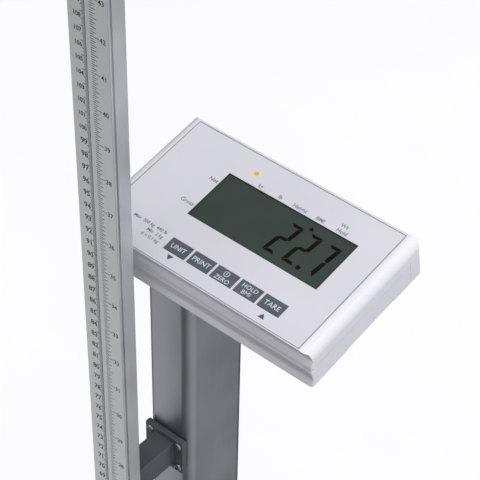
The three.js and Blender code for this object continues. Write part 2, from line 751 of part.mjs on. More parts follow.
function mainBoard() {
  const board = block(-86, 64, -52, 30, -12.6, -11);
  const driver = block(-30, -10, 4, 18, -13.8, -12);
  const converter = block(-70, -52, -30, -18, -14.5, -12);
  const plug = block(-58, -32, 27, 34, -20, -11.5);
  return join(board, driver, converter, plug);
}

function keySheet() {
  const edge = KEY.width / 2 + 1;
  const last = KEY.first + (KEY_NAMES.length - 1) * KEY.pitch;
  const sheet = block(KEY.first - edge, last + edge, KEY.v - 6, KEY.v + 6, -6.4, -5.2);
  const domes = keyPlaces().map(([, u]) => rodZ(3, -5.6, -4.5, u, KEY.v, 16));
  return join(sheet, ...domes);
}

// A key cap, origin on the panel at the middle of the key, with its stem behind it.
function keyCap() {
  const x = KEY.width / 2;
  const y = KEY.height / 2;
  const cap = alongZ(rectangle(-x, x, -y, y, 0.6), -1.6, KEY.proud, 2);
  return join(cap, block(-4, 4, -2.5, 2.5, -3.6, -1));
}

function lampLens() {
  return rodZ(LAMP.radius, -2.4, 0.05, 0, 0, 24);
}

function batteryPack() {
  return alongX(
    rectangle(WELL.front + 1, WELL.back - 1, BOTTOM + DOOR.recess + 0.2, -14.2, 3),
    WELL.left + 1,
    WELL.right - 1,
    3,
  );
}

function batteryDoor() {
  const plate = block(
    DOOR.left + GAP, SLAB.right - GAP, DOOR.front, DOOR.back,
    BOTTOM + 0.1, BOTTOM + 0.1 + DOOR.thickness,
  );
  const grips = [0, 1, 2].map((i) => (
    block(66 + i * 4, 67.5 + i * 4, DOOR.front + 14, DOOR.back - 14, BOTTOM - 1, BOTTOM + 0.7)
  ));
  return cut(plate, ...grips);
}

function portPlug() {
  return join(
    block(
      PORT.left + GAP, PORT.right - GAP, WALL.back, SLAB.back + 0.5,
      PORT.bottom + GAP, PORT.top - GAP,
    ),
    block(-48, -42, SLAB.back - 1, SLAB.back + 2, -22, -19),
  );
}

function housingScrew() {
  const slot = block(-3.5, 3.5, -0.5, 0.5, BOTTOM - 1, BOTTOM + 0.8);
  const head = rodZ(SCREW.head, BOTTOM + 0.1, BOTTOM + 1.7, 0, 0, 16);
  const body = join(head, rodZ(SCREW.shank, BOTTOM + 1, -17));
  return cut(body, slot);
}

// The tilting half of the hinge: a plate under the slab with two ears down to the pin.
const PIN_DROP = HEAD.z - TILT_PIN.z;

function headYoke() {
  const tilt = THREE.MathUtils.degToRad(HEAD.tilt);
  const pinV = -PIN_DROP * Math.sin(tilt);
  const pinN = -PIN_DROP * Math.cos(tilt);
  const top = BOTTOM - GAP;
  const left = LUG.left + LUG.thickness + 0.5 - HEAD.x;
  const right = LUG.right - LUG.thickness - 0.5 - HEAD.x;
  const plate = alongZ(rectangle(left, right, pinV - 22, pinV + 22, 3), top - 3, top);
  const reach = top - 1 - pinN;
  const earAt = (u) => alongX(ear(LUG.radius - 2, -reach), u, u + LUG.thickness)
    .rotateX(Math.PI)
    .translate(0, pinV, pinN);
  const bore = rodX(TILT_PIN.radius + GAP, left - RUN, right + RUN, pinV, pinN);
  return cut(join(plate, earAt(left), earAt(right - LUG.thickness)), bore);
}

// ---- assembly ----

function add(parent, name, geometry, material, x = 0, y = 0, z = 0) {
  const mesh = new THREE.Mesh(geometry, material);
  mesh.name = name;
  mesh.position.set(x, y, z);
  parent.add(mesh);
  return mesh;
}

function buildBase() {
  const group = new THREE.Group();
  const corners = ['front_left', 'front_right', 'rear_left', 'rear_right'];
  add(group, 'base_frame', baseFrame(), paintedSteel());
  add(group, 'platform_tray', platformTray(), paintedSteel());
  add(group, 'platform_mat', platformMat(), rubber());
  CELLS.forEach(([x, y], i) => add(group, `load_cell_${corners[i]}`, loadCell(), aluminium(), x, y));
  FEET.forEach(([x, y], i) => add(group, `foot_${corners[i]}`, levellingFoot(), rubber(), x, y));
  add(group, 'junction_board', junctionBoard(), circuitBoard(), 0, -45);
  add(group, 'column_socket', columnSocket(), steel(), 0, COLUMN.y);
  boltPlaces().forEach(([x, y], i) => add(group, `socket_bolt_${i + 1}`, socketBolt(), steel(), x, y));
  add(group, 'rear_deck', rearDeck(), lightPlastic());
  add(group, 'level_vial', levelVial(), finish(0xb9c46a, 0.1, 0), LEVEL.x, LEVEL.y);
  [['left', -1], ['right', 1]].forEach(([side, sign]) => {
    add(group, `wheel_${side}`, wheel(), rubber(), sign * WHEEL.x, WHEEL.y, WHEEL.z);
    const axle = add(group, `wheel_axle_${side}`, wheelAxle(), steel(), sign * WHEEL.x, WHEEL.y, WHEEL.z);
    if (sign < 0) axle.rotation.z = Math.PI;
  });
  return group;
}

function buildColumn() {
  const group = new THREE.Group();
  add(group, 'column_tube', columnTube(), darkAluminium(), 0, COLUMN.y);
  add(group, 'head_bracket', headBracket(), steel());
  add(group, 'tilt_pin', tiltPin(), steel(), 0, HEAD.y, TILT_PIN.z);
  add(group, 'tilt_knob', tiltKnob(), darkPlastic(), LUG.right + 1 + GAP, HEAD.y, TILT_PIN.z);
  return group;
}

function buildHeightRod() {
  const group = new THREE.Group();
  add(group, 'rod_outer', rodOuter(), aluminium());
  add(group, 'rod_inner', rodInner(), aluminium());
  add(group, 'rod_end_block', rodEndBlock(), aluminium());
  add(group, 'rod_bottom_cap', rodBottomCap(), darkPlastic());
  add(group, 'rod_top_cap', rodTopCap(), darkPlastic());
  const levels = ['lower', 'upper'];
  STANDOFFS.forEach((z, i) => {
    add(group, `rod_standoff_${levels[i]}`, rodStandoff(), darkPlastic(), 0, 0, z);
  });
  add(group, 'rod_lock_screw', lockScrew(), darkPlastic());
  add(group, 'carriage', carriage(), darkPlastic());
  add(group, 'head_plate_pin', platePin(), steel(), 0, PLATE_PIN.y, PLATE_PIN.z);
  add(group, 'head_plate', headPlate(), lightPlastic());
  return group;
}

function buildHead() {
  const group = new THREE.Group();
  group.position.set(HEAD.x, HEAD.y, HEAD.z);
  group.rotation.x = THREE.MathUtils.degToRad(HEAD.tilt);
  add(group, 'head_yoke', headYoke(), steel());
  add(group, 'top_cover', topCover(), lightPlastic());
  add(group, 'bottom_housing', bottomHousing(), lightPlastic());
  add(group, 'rear_cover', rearCover(), lightPlastic());
  add(group, 'overlay_film', overlayFilm(), finish(0xd3d2d8, 0.45, 0));
  add(group, 'display_lens', displayLens(), finish(0xf4f6f6, 0.05, 0));
  add(group, 'display_module', displayModule(), finish(0x454c47, 0.3, 0));
  add(group, 'main_board', mainBoard(), circuitBoard());
  add(group, 'key_sheet', keySheet(), rubber());
  keyPlaces().forEach(([name, u]) => add(group, `key_${name}`, keyCap(), darkPlastic(), u, KEY.v));
  add(group, 'status_lamp', lampLens(), finish(0xc3ba86, 0.4, 0), LAMP.u, LAMP.v);
  add(group, 'battery_pack', batteryPack(), finish(0x2f3f7a, 0.5, 0));
  add(group, 'battery_door', batteryDoor(), lightPlastic());
  add(group, 'port_plug', portPlug(), rubber());
  SCREWS.forEach(([u, v], i) => add(group, `housing_screw_${i + 1}`, housingScrew(), steel(), u, v));
  return group;
}

const scale = new THREE.Group();
scale.add(buildBase(), buildColumn(), buildHeightRod(), buildHead());

export default scale;
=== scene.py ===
# %% [markdown]
# # An electronic physician scale
# The scale is a low weighing platform with a column behind it. The column carries a tilting
# display head, and an aluminium height rod stands in front of it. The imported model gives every
# size and place, so this script only makes the looks: finer edges, printed scales and legends,
# the liquid crystal digits, threads and treads, and a finish for each surface.

# %% Load the frame
import json
from math import atan2, cos, pi, radians, sin

import bmesh
import bpy
from mathutils import Matrix, Vector


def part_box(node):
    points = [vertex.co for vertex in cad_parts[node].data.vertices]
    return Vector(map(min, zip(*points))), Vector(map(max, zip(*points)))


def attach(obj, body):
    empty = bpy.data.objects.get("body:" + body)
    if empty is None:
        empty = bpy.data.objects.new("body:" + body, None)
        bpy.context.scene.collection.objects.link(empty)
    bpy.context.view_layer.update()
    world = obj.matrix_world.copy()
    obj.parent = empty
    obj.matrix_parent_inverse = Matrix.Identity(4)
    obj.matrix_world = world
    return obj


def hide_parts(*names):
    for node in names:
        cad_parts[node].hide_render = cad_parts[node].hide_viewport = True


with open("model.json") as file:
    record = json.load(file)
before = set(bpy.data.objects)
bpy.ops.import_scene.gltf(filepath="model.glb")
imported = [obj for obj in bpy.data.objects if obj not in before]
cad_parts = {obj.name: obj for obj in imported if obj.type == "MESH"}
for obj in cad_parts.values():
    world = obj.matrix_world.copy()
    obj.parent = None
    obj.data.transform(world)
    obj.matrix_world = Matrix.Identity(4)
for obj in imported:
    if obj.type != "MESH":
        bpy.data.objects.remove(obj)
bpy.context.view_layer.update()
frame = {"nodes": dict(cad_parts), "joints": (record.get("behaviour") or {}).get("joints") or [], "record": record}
MM = 0.001
RECORD = frame["record"]
BODY_OF = {n: b for b, nodes in RECORD["behaviour"]["bodies"].items() for n in nodes}
SLOT_OF = {s["node"]: s["material_slot"] for s in RECORD["subparts"]}

# %% [markdown]
# The display head leans towards its reader. Everything printed on it is easiest to place in the
# panel's own frame: u to the right, v up the slope and n out of the panel, from the middle of
# the display window. The keys travel straight into the panel, so their joint gives the lean,
# and the window's lens gives the origin.

# %% The panel's own frame
LENS_DEPTH = 0.95 * MM       # of the lens's middle, under the panel's face
press = next(j["axis"] for j in frame["joints"] if j["name"] == "key_unit_press")
TILT = atan2(press[1], -press[2])
OUT_OF_PANEL = Vector((0, -sin(TILT), cos(TILT)))
lens_low, lens_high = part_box("display_lens")
WINDOW_CENTRE = (lens_low + lens_high) / 2 + OUT_OF_PANEL * LENS_DEPTH
PANEL = Matrix.Translation(WINDOW_CENTRE) @ Matrix.Rotation(TILT, 4, "X")
print("panel leans", round(TILT * 180 / pi, 2), "degrees")

# %% [markdown]
# The camera comes next. It is a long lens, close above the display, turned to the reader's
# right and looking well down, with a slight roll. Its place is given from the window's middle,
# so it stays right if the head moves.

# %% Camera
CAMERA_FROM_WINDOW = Vector((502.3, -631.1, 714.2)) * MM
VIEW_TURN, VIEW_DOWN, VIEW_ROLL = radians(39.91), radians(41.91), radians(1.34)
camera = bpy.data.objects.new("camera", bpy.data.cameras.new("camera"))
bpy.context.scene.collection.objects.link(camera)
camera.data.sensor_width = 36
camera.data.lens = 128.9
camera.data.clip_start = 0.05
camera.matrix_world = (
    Matrix.Translation(WINDOW_CENTRE + CAMERA_FROM_WINDOW)
    @ Matrix.Rotation(VIEW_TURN, 4, "Z")
    @ Matrix.Rotation(pi / 2 - VIEW_DOWN, 4, "X")
    @ Matrix.Rotation(VIEW_ROLL, 4, "Z")
)
bpy.context.scene.camera = camera
print("camera at", [round(x, 3) for x in camera.location])

# %% [markdown]
# Two helpers carry every material. One turns an sRGB hex colour into the linear values that a
# shader wants. The other adds a node with its settings and links, so that a material reads as a
# short list of what happens to the surface.

# %% Colour and node helpers


def colour(code):
    """Linear RGBA from an sRGB hex string."""
    parts = [int(code[i:i + 2], 16) / 255 for i in (1, 3, 5)]
    linear = [c / 12.92 if c <= 0.04045 else ((c + 0.055) / 1.055) ** 2.4 for c in parts]
    return (*linear, 1.0)


def add_node(tree, kind, inputs, **settings):
    """Adds a node. An input that is given a socket is linked, and one given a value is set."""
    made = tree.nodes.new(kind)
    for key, value in settings.items():
        setattr(made, key, value)
    for key, value in inputs.items():
        if isinstance(value, bpy.types.NodeSocket):
            tree.links.new(value, made.inputs[key])
        else:
            made.inputs[key].default_value = value
    return made


def start_material(name, shader_values):
    """A new material: its tree, its Principled shader with those values, and its coordinates."""
    made = bpy.data.materials.new(name)
    made.use_nodes = True
    shader = made.node_tree.nodes["Principled BSDF"]
    for key, value in shader_values.items():
        shader.inputs[key].default_value = value
    place = made.node_tree.nodes.new("ShaderNodeTexCoord").outputs["Object"]
    return made, made.node_tree, shader, place


print("node helpers ready")

# %% [markdown]
# Nearly every real finish here has the same build. A fine grain, left by a mould, a brush or a
# spray gun, carries the bump. Slow patches, from handling, dust and age, shift the colour. Both
# together move the roughness, so highlights break up instead of sliding off like wet paint. A
# grain that is drawn out along one axis turns into brushing. Sizes are real millimetres.

# %% A finish with grain and wear
GRAIN_SHARE = 0.4                # how much of the colour change follows the grain
NOISE_FOR_COLOUR = 0.38, 0.62    # most of a noise texture's values lie near its middle, so that
NOISE_FOR_SHEEN = 0.35, 0.65     # part is spread over the whole change


def worn_finish(name, low, high, grain_mm, patch_mm, rough, depth_mm, stretch=(1, 1, 1), **values):
    """A finish whose colour runs from low to high and its roughness over rough."""
    shader_values = {key.replace("_", " "): value for key, value in values.items()}
    made, tree, shader, place = start_material(name, shader_values)
    drawn_out = add_node(tree, "ShaderNodeMapping",
                         {"Vector": place, "Scale": [1 / s for s in stretch]})
    grain = add_node(tree, "ShaderNodeTexNoise",
                     {"Vector": drawn_out.outputs[0], "Scale": 1000 / grain_mm, "Detail": 2.5})
    patches = add_node(tree, "ShaderNodeTexNoise",
                       {"Vector": place, "Scale": 1000 / patch_mm, "Detail": 4.0})
    slow = add_node(tree, "ShaderNodeMath", {0: patches.outputs[0], 1: 1 - GRAIN_SHARE},
                    operation="MULTIPLY")
    both = add_node(tree, "ShaderNodeMath",
                    {0: grain.outputs[0], 1: GRAIN_SHARE, 2: slow.outputs[0]},
                    operation="MULTIPLY_ADD")
    tint = add_node(tree, "ShaderNodeValToRGB", {"Fac": both.outputs[0]})
    for stop, position, code in zip(tint.color_ramp.elements, NOISE_FOR_COLOUR, (low, high)):
        stop.position, stop.color = position, colour(code)
    sheen = add_node(tree, "ShaderNodeMapRange", {
        "Value": both.outputs[0], "From Min": NOISE_FOR_SHEEN[0], "From Max": NOISE_FOR_SHEEN[1],
        "To Min": rough[0], "To Max": rough[1]})
    bump = add_node(tree, "ShaderNodeBump", {"Height": grain.outputs[0], "Distance": depth_mm * MM})
    tree.links.new(tint.outputs[0], shader.inputs["Base Color"])
    tree.links.new(sheen.outputs[0], shader.inputs["Roughness"])
    tree.links.new(bump.outputs[0], shader.inputs["Normal"])
    return made


print("finish helper ready")

# %% [markdown]
# ## Finishes
# The housing is ABS moulded in a spark-eroded tool. That leaves a grain of about 0.2 mm, too
# fine to show here, so it is drawn at 0.5 mm. It gives the eye a soft, even sheen that breaks up
# at grazing angles. The panel is a polyester film printed on its back, a little smoother.

# %% Plastics
moulded_abs = worn_finish("moulded_abs", "#e2e1e8", "#ecebf2", 0.5, 60, (0.4, 0.52), 0.012,
                          IOR=1.53)
printed_film = worn_finish("printed_polyester_film", "#dad9df", "#e0dfe5", 0.35, 90, (0.36, 0.46),
                           0.004, IOR=1.6)
filled_nylon = worn_finish("glass_filled_nylon", "#45494e", "#53575d", 0.6, 40, (0.42, 0.6), 0.02,
                           IOR=1.53)
key_film = worn_finish("printed_key_film", "#4e5459", "#585e64", 0.4, 9, (0.36, 0.5), 0.004,
                       IOR=1.6)
print("plastics", moulded_abs.name, printed_film.name, filled_nylon.name, key_film.name)

# %% [markdown]
# Rubber is dark and nearly matt. Dust sits in its grain, so the lighter tone follows slow
# patches. The mat is walked on, so it is worn a little smoother than the tyres and feet.

# %% Rubbers
mat_rubber = worn_finish("ribbed_mat_rubber", "#242529", "#3b3c40", 0.8, 70, (0.6, 0.82), 0.03)
tyre_rubber = worn_finish("moulded_rubber", "#1d1e20", "#303134", 0.6, 15, (0.7, 0.9), 0.03)
print("rubbers", mat_rubber.name, tyre_rubber.name)

# %% [markdown]
# Both extrusions are aluminium, brushed along their length and then anodised. The brushing lines
# are about 0.1 mm apart, and are drawn at 0.35 mm so that they show. They run with Z, so the
# noise is drawn out along Z. The anodic film makes the metal grey and satin. Steel parts are zinc
# plated, which leaves a fine crystal spangle. Powder coat is sprayed and baked, and flows into a
# low orange peel about 1.5 mm across.

# %% Metals
BRUSHED_ALONG_Z = (1, 1, 160)
rod_aluminium = worn_finish("anodised_rod_aluminium", "#d9dadd", "#e3e4e6", 0.35, 30, (0.42, 0.54),
                            0.005, BRUSHED_ALONG_Z, Metallic=1.0)
column_aluminium = worn_finish("anodised_column_aluminium", "#a6a9af", "#b2b5bb", 0.35, 45,
                               (0.38, 0.5), 0.005, BRUSHED_ALONG_Z, Metallic=1.0)
zinc_steel = worn_finish("zinc_plated_steel", "#8c9197", "#a9aeb3", 1.4, 22, (0.3, 0.5), 0.01,
                         Metallic=1.0)
powder_coat = worn_finish("powder_coated_steel", "#cfced5", "#dad9e0", 1.5, 120, (0.4, 0.52), 0.02)
print("metals", rod_aluminium.name, column_aluminium.name, zinc_steel.name, powder_coat.name)

# %% [markdown]
# The display is a reflective liquid crystal cell behind a clear window. Its polariser gives the
# cell a flat grey-green, and the energised segments are almost black. The window adds only a
# thin gloss with a few wiping marks, so it is nearly transparent. The status lamp is unlit: its
# diffusing lens shows as a dull yellow.

# %% Display and small finishes
BONDED = 1.12      # the cell is bonded behind its window, so its own face hardly reflects
WIPING_MM = 6      # size of the window's wiping marks
polariser = worn_finish("liquid_crystal_polariser", "#515e57", "#58635d", 0.8, 35, (0.34, 0.44),
                        0.001, IOR=BONDED)
segment_ink = worn_finish("liquid_crystal_segment", "#110f0c", "#191613", 0.6, 8, (0.5, 0.6), 0.001,
                          IOR=BONDED)
# The pale yellow ring round the lamp is painted glow: its soft halo of light drawn as colour.
painted_lamp_glow = worn_finish("painted_lamp_glow", "#efe2a6", "#f6ebb8", 0.5, 3, (0.45, 0.55), 0.001)
lamp_diffuser = worn_finish("diffusing_lamp_lens", "#c3b985", "#cdc392", 0.7, 4, (0.35, 0.45),
                            0.004)
vial_liquid = worn_finish("spirit_level_liquid", "#9fb23c", "#b7c858", 3, 8, (0.05, 0.12), 0.001,
                          Coat_Weight=0.6)
bubble_air = worn_finish("spirit_level_bubble", "#d6e08c", "#e4ecaa", 2, 4, (0.03, 0.08), 0.001)
battery_sleeve = worn_finish("battery_shrink_sleeve", "#27407f", "#31509a", 2, 25, (0.2, 0.35),
                             0.01)

window_acrylic, tree, shader, place = start_material(
    "clear_window_acrylic", {"IOR": 1.49, "Alpha": 0.15, "Base Color": colour("#0b0d0c")})
wiping = add_node(tree, "ShaderNodeTexNoise", {"Vector": place, "Scale": 1000 / WIPING_MM})
haze = add_node(tree, "ShaderNodeMapRange",
                {"Value": wiping.outputs[0], "To Min": 0.02, "To Max": 0.1})
tree.links.new(haze.outputs[0], shader.inputs["Roughness"])
print("display finishes ready")

# %% [markdown]
# Printed marks are ink a few hundredths of a millimetre thick. The rod's marks are etched dark
# grey, the panel's are a mid grey, and the keys' are a pale blue-white. The circuit board's
# solder mask is green, with the rows of its tracks just showing through.

# %% Inks and the circuit board
rod_ink = worn_finish("etched_rod_ink", "#38393e", "#4c4d52", 1, 12, (0.5, 0.65), 0.002)
panel_ink = worn_finish("panel_legend_ink", "#77777f", "#85858d", 0.5, 20, (0.5, 0.6), 0.001)
arrow_ink = worn_finish("panel_arrow_ink", "#4a4b50", "#56575c", 0.5, 20, (0.5, 0.6), 0.001)
key_ink = worn_finish("key_legend_ink", "#cfe0e6", "#e2eef2", 0.5, 10, (0.45, 0.55), 0.001)

TRACK_MM = 9       # size of the blocks that the board's tracks make
solder_mask, tree, shader, place = start_material("green_solder_mask", {"Roughness": 0.35})
tracks = add_node(tree, "ShaderNodeTexBrick", {
    "Vector": place, "Scale": 1000 / TRACK_MM, "Color1": colour("#1d5636"),
    "Color2": colour("#246a42"), "Mortar": colour("#174429")})
raised_tracks = add_node(tree, "ShaderNodeBump",
                         {"Height": tracks.outputs[1], "Distance": 0.03 * MM})
tree.links.new(tracks.outputs[0], shader.inputs["Base Color"])
tree.links.new(raised_tracks.outputs[0], shader.inputs["Normal"])
print("inks and board ready")

# %% [markdown]
# Every frame node first takes the finish of its slot. Those that stay hidden inside, such as the
# load cells and the main board, need no more than that.

# %% Finish each slot
FINISH = {
    "painted_steel": powder_coat, "mat_rubber": mat_rubber, "dark_rubber": tyre_rubber,
    "circuit_board": solder_mask, "steel": zinc_steel, "light_plastic": moulded_abs,
    "dark_plastic": filled_nylon, "key_plastic": key_film, "panel_film": printed_film,
    "vial_plastic": vial_liquid, "column_aluminium": column_aluminium,
    "rod_aluminium": rod_aluminium, "clear_lens": window_acrylic, "display": polariser,
    "lamp_lens": lamp_diffuser, "battery": battery_sleeve,
}
for node_name, cad in frame["nodes"].items():
    cad.data.materials.clear()
    cad.data.materials.append(FINISH[SLOT_OF[node_name]])
print("finished", len(frame["nodes"]), "nodes in", len(FINISH), "finishes")

# %% [markdown]
# The stage is a plain pale floor and dome under soft studio light. The light has a few broad
# parts. The strongest comes from above and a little in front, so the housing's ledges are bright
# and its undercuts are shaded. One fills the right. A large card low in front on the left lights
# only reflections, and is what the brushed metal shows. The floor and the dome are seen only by
# the camera: they are left out of reflections, bounced light and shadows, so that the metal has
# something dark to reflect, and doesn't look like plastic. Both glow a little, so they stay pale.

# %% Sky and light
SKY_TINT = colour("#fafafd")
SKY_LEAST = 0.04
SKY_LOBES = [                # direction, start and end of its rise, and strength
    ((0.50, 0.22, 0.84), 0.0, 0.75, 0.28),
    ((-0.05, -0.42, 0.90), 0.6, 1.0, 1.6),
    ((1.00, 0.00, -0.10), 0.2, 0.9, 0.6),
]
LAMPS = [                    # name, place, size, power, and whether it lights matt surfaces
    ("soft_box", (1.5, 0.7, 2.9), 1.6, 20, True),
    ("metal_card", (-1.5, -1.75, -1.45), 3.6, 26, False),
]

world = bpy.data.worlds.new("soft_sky")
world.use_nodes = True
tree = world.node_tree
towards = tree.nodes.new("ShaderNodeTexCoord").outputs["Generated"]
brightness = SKY_LEAST
for direction, start, end, strength in SKY_LOBES:
    along = add_node(tree, "ShaderNodeVectorMath", {0: towards, 1: direction},
                     operation="DOT_PRODUCT")
    lobe = add_node(tree, "ShaderNodeMapRange", {
        "Value": along.outputs["Value"], "From Min": start, "From Max": end, "To Max": strength},
        interpolation_type="SMOOTHSTEP")
    total = add_node(tree, "ShaderNodeMath", {0: lobe.outputs[0], 1: brightness}, operation="ADD")
    brightness = total.outputs[0]
sky = tree.nodes["Background"]
sky.inputs["Color"].default_value = SKY_TINT
tree.links.new(brightness, sky.inputs["Strength"])
bpy.context.scene.world = world

for lamp_name, spot, size, power, lights_matt in LAMPS:
    lamp_data = bpy.data.lights.new(lamp_name, "AREA")
    lamp_data.shape = "SQUARE"
    lamp_data.size = size
    lamp_data.energy = power
    lamp = bpy.data.objects.new(lamp_name, lamp_data)
    bpy.context.scene.collection.objects.link(lamp)
    lamp.location = spot
    lamp.rotation_euler = (WINDOW_CENTRE - lamp.location).to_track_quat("-Z", "Y").to_euler()
    lamp.visible_diffuse = lights_matt
    lamp.visible_camera = False
print("sky and light ready")

# %% Floor and dome
STAGE_SIZE = 25              # metres from the middle to the edge
painted_floor = worn_finish("painted_floor", "#b9b9bd", "#bfbfc3", 2, 400, (0.7, 0.8), 0.01,
                            Emission_Color=SKY_TINT, Emission_Strength=0.545)
painted_dome = worn_finish("painted_dome", "#404042", "#48484a", 40, 900, (0.8, 0.9), 0.01,
                           Emission_Color=SKY_TINT, Emission_Strength=0.9)
for stage_name, finish in (("floor", painted_floor), ("dome", painted_dome)):
    bm = bmesh.new()
    if stage_name == "floor":
        bmesh.ops.create_grid(bm, x_segments=1, y_segments=1, size=STAGE_SIZE)
    else:
        bmesh.ops.create_uvsphere(bm, u_segments=48, v_segments=24, radius=STAGE_SIZE)
        bmesh.ops.reverse_faces(bm, faces=bm.faces)
    mesh = bpy.data.meshes.new(stage_name)
    bm.to_mesh(mesh)
    bm.free()
    mesh.materials.append(finish)
    mesh.shade_smooth()
    stage = bpy.data.objects.new(stage_name, mesh)
    bpy.context.scene.collection.objects.link(stage)
    stage.visible_diffuse = False
    stage.visible_glossy = False
    stage.visible_shadow = False
bpy.context.scene.view_settings.view_transform = "Standard"
print("floor and dome ready")

# %% [markdown]
# ## From a bmesh to a piece
# A piece is made from a bmesh, given smooth shading with crisp creases, and hung on its body.
# Weighted normals keep the flat faces flat next to rounded edges.

# %% Piece helpers
CREASE = radians(60)         # edges that turn by more than this stay crisp
SHARP = radians(35)          # edges that turn by more than this are rounded
MERGE_MM = 0.002             # vertices nearer than this are one


def make_piece(bm, name, material, body, stands_for=()):
    """The bmesh as an object in place, riding on its body."""
    mesh = bpy.data.meshes.new(name)
    bm.to_mesh(mesh)
    bm.free()
    mesh.materials.append(material)
    mesh.shade_smooth()
    mesh.set_sharp_from_angle(angle=CREASE)
    made = bpy.data.objects.new(name, mesh)
    bpy.context.scene.collection.objects.link(made)
    weighted = made.modifiers.new("flat_faces_stay_flat", "WEIGHTED_NORMAL")
    weighted.keep_sharp = True
    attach(made, body)
    if stands_for:
        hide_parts(*stands_for)
    return made


def round_edges(bm, radius_mm, segments=2):
    """Rounds the sharp edges, as a mould or a deburring tool does."""
    sharp = [e for e in bm.edges if e.is_manifold and e.calc_face_angle() > SHARP]
    bmesh.ops.bevel(bm, geom=sharp, offset=radius_mm * MM, offset_type="OFFSET", segments=segments,
                    profile=0.5, affect="EDGES", clamp_overlap=True, material=-1)


def solid_box(bm, low, high):
    """A box between two corners in millimetres. Returns its vertices."""
    low, high = Vector(low) * MM, Vector(high) * MM
    place = Matrix.Translation((low + high) / 2) @ Matrix.Diagonal((*(high - low), 1))
    return bmesh.ops.create_cube(bm, size=1, matrix=place)["verts"]


def turned(bm, profile, axis, centre, steps=48):
    """A solid of revolution. The closed profile is (radius, height) in millimetres, about an X
    or Z axis through the centre."""
    along, out = Vector((1, 0, 0)), Vector((0, 0, 1))
    if axis == "Z":
        along, out = out, along
    verts = [bm.verts.new(centre + out * r * MM + along * h * MM) for r, h in profile]
    edges = [bm.edges.new((verts[i - 1], verts[i])) for i in range(len(verts))]
    bmesh.ops.spin(bm, geom=verts + edges, cent=centre, axis=along, angle=2 * pi, steps=steps,
                   use_merge=True)
    bmesh.ops.remove_doubles(bm, verts=bm.verts, dist=MERGE_MM * MM)
    bmesh.ops.recalc_face_normals(bm, faces=bm.faces)


def panel_box(node_name):
    """Lowest and highest corner of a node in the panel's own frame."""
    back = PANEL.inverted()
    points = [back @ v.co for v in frame["nodes"][node_name].data.vertices]
    return (Vector([min(p[i] for p in points) for i in range(3)]),
            Vector([max(p[i] for p in points) for i in range(3)]))


print("piece helpers ready")

# %% [markdown]
# ## The head's front wall
# The two shells meet halfway up the front wall. Above the joint the wall is drawn in to a cove
# under the panel's edge, and below it the wall leans in and then flares to a lip, so each half
# has one soft bright band and one shaded band. The frame has plain flat facets there. A copy of
# each shell is cut at many levels, and each cut is slid in or out to a depth. Cutting and
# sliding keeps the rest of the shell as it is, which a new shell made from a profile would not.

# %% Shape the front wall
FRONT_V = panel_box("top_cover")[0].y
FRONT_REACH = 3.0 * MM       # how far behind the front the wall's own faces go
FRONT_STEP = 0.8             # millimetres between cuts
ON_THE_CUT = 0.005           # a vertex this near a cut, in millimetres, is left where it is
LEVEL_SLACK = 0.01           # lets in vertices that lie exactly at the top or the foot
FACES_READER = 0.9           # least cosine between the front wall's faces and the reader's side
SHELL_JOINT = {"level": -15.8, "depth": 0.6, "half": 1.3}     # a V along the shells' joint
FRONT_PROFILE = {            # level under the panel and depth behind the front, in millimetres
    "top_cover": [(-0.9, 0.15), (-2.5, 2.0), (-7.0, 2.7), (-9.4, 2.3), (-11.8, 0.5), (-13.4, 0.05),
                  (-15.65, 0)],
    "bottom_housing": [(-15.95, 0), (-18.0, 0.1), (-25.0, 1.2), (-27.2, 1.1), (-30.4, -0.85),
                       (-31.0, -1.0)],
}


def depth_at(profile, level):
    """Depth at a level: straight between the profile's points, plus the joint's groove."""
    depth = profile[-1][1]
    for (high, d0), (low, d1) in zip(profile, profile[1:]):
        if low <= level <= high:
            depth = d0 + (d1 - d0) * (high - level) / (high - low)
    from_joint = abs(level - SHELL_JOINT["level"]) / SHELL_JOINT["half"]
    return depth + SHELL_JOINT["depth"] * max(0, 1 - from_joint)


def shape_front(bm, profile):
    """Cuts a shell's front wall at many levels and slides the cuts to the profile's depths."""
    into_panel = PANEL.inverted()
    to_reader = PANEL.to_3x3() @ Vector((0, -1, 0))
    top, foot = profile[0][0], profile[-1][0]
    steps = round((top - foot) / FRONT_STEP)
    for level in [top + (foot - top) * i / steps for i in range(steps + 1)]:
        near = [f for f in bm.faces
                if all((into_panel @ v.co).y < FRONT_V + FRONT_REACH for v in f.verts)]
        around = {part for f in near for part in (*f.verts, *f.edges)}
        bmesh.ops.bisect_plane(bm, geom=[*near, *around], dist=ON_THE_CUT * MM,
                               plane_no=OUT_OF_PANEL,
                               plane_co=PANEL @ Vector((0, 0, level * MM)))
    bm.normal_update()
    in_front = {v for f in bm.faces if f.normal.dot(to_reader) > FACES_READER for v in f.verts}
    for vert in bm.verts:
        place = into_panel @ vert.co
        level = place.z / MM
        if not foot - LEVEL_SLACK <= level <= top + LEVEL_SLACK:
            continue
        if place.y > FRONT_V + FRONT_REACH:
            continue
        wanted = FRONT_V + depth_at(profile, level) * MM
        if vert in in_front or place.y < wanted:
            place.y = wanted
            vert.co = PANEL @ place


print("front wall profiles", {name: len(points) for name, points in FRONT_PROFILE.items()})

# %% [markdown]
# ## Rounded edges on the structure
# No moulded, bent or extruded part has a knife edge, and a thin highlight along each edge is
# what makes it look solid. The frame's nodes have the right shape but sharp edges, so each one
# in sight is copied and merged, its flat triangles are dissolved into whole faces, and its edges
# are rounded. The radius is a real one for that process: 0.2 mm on a deburred extrusion, 0.4 mm
# on a moulding, 1 mm on a press-formed sheet.

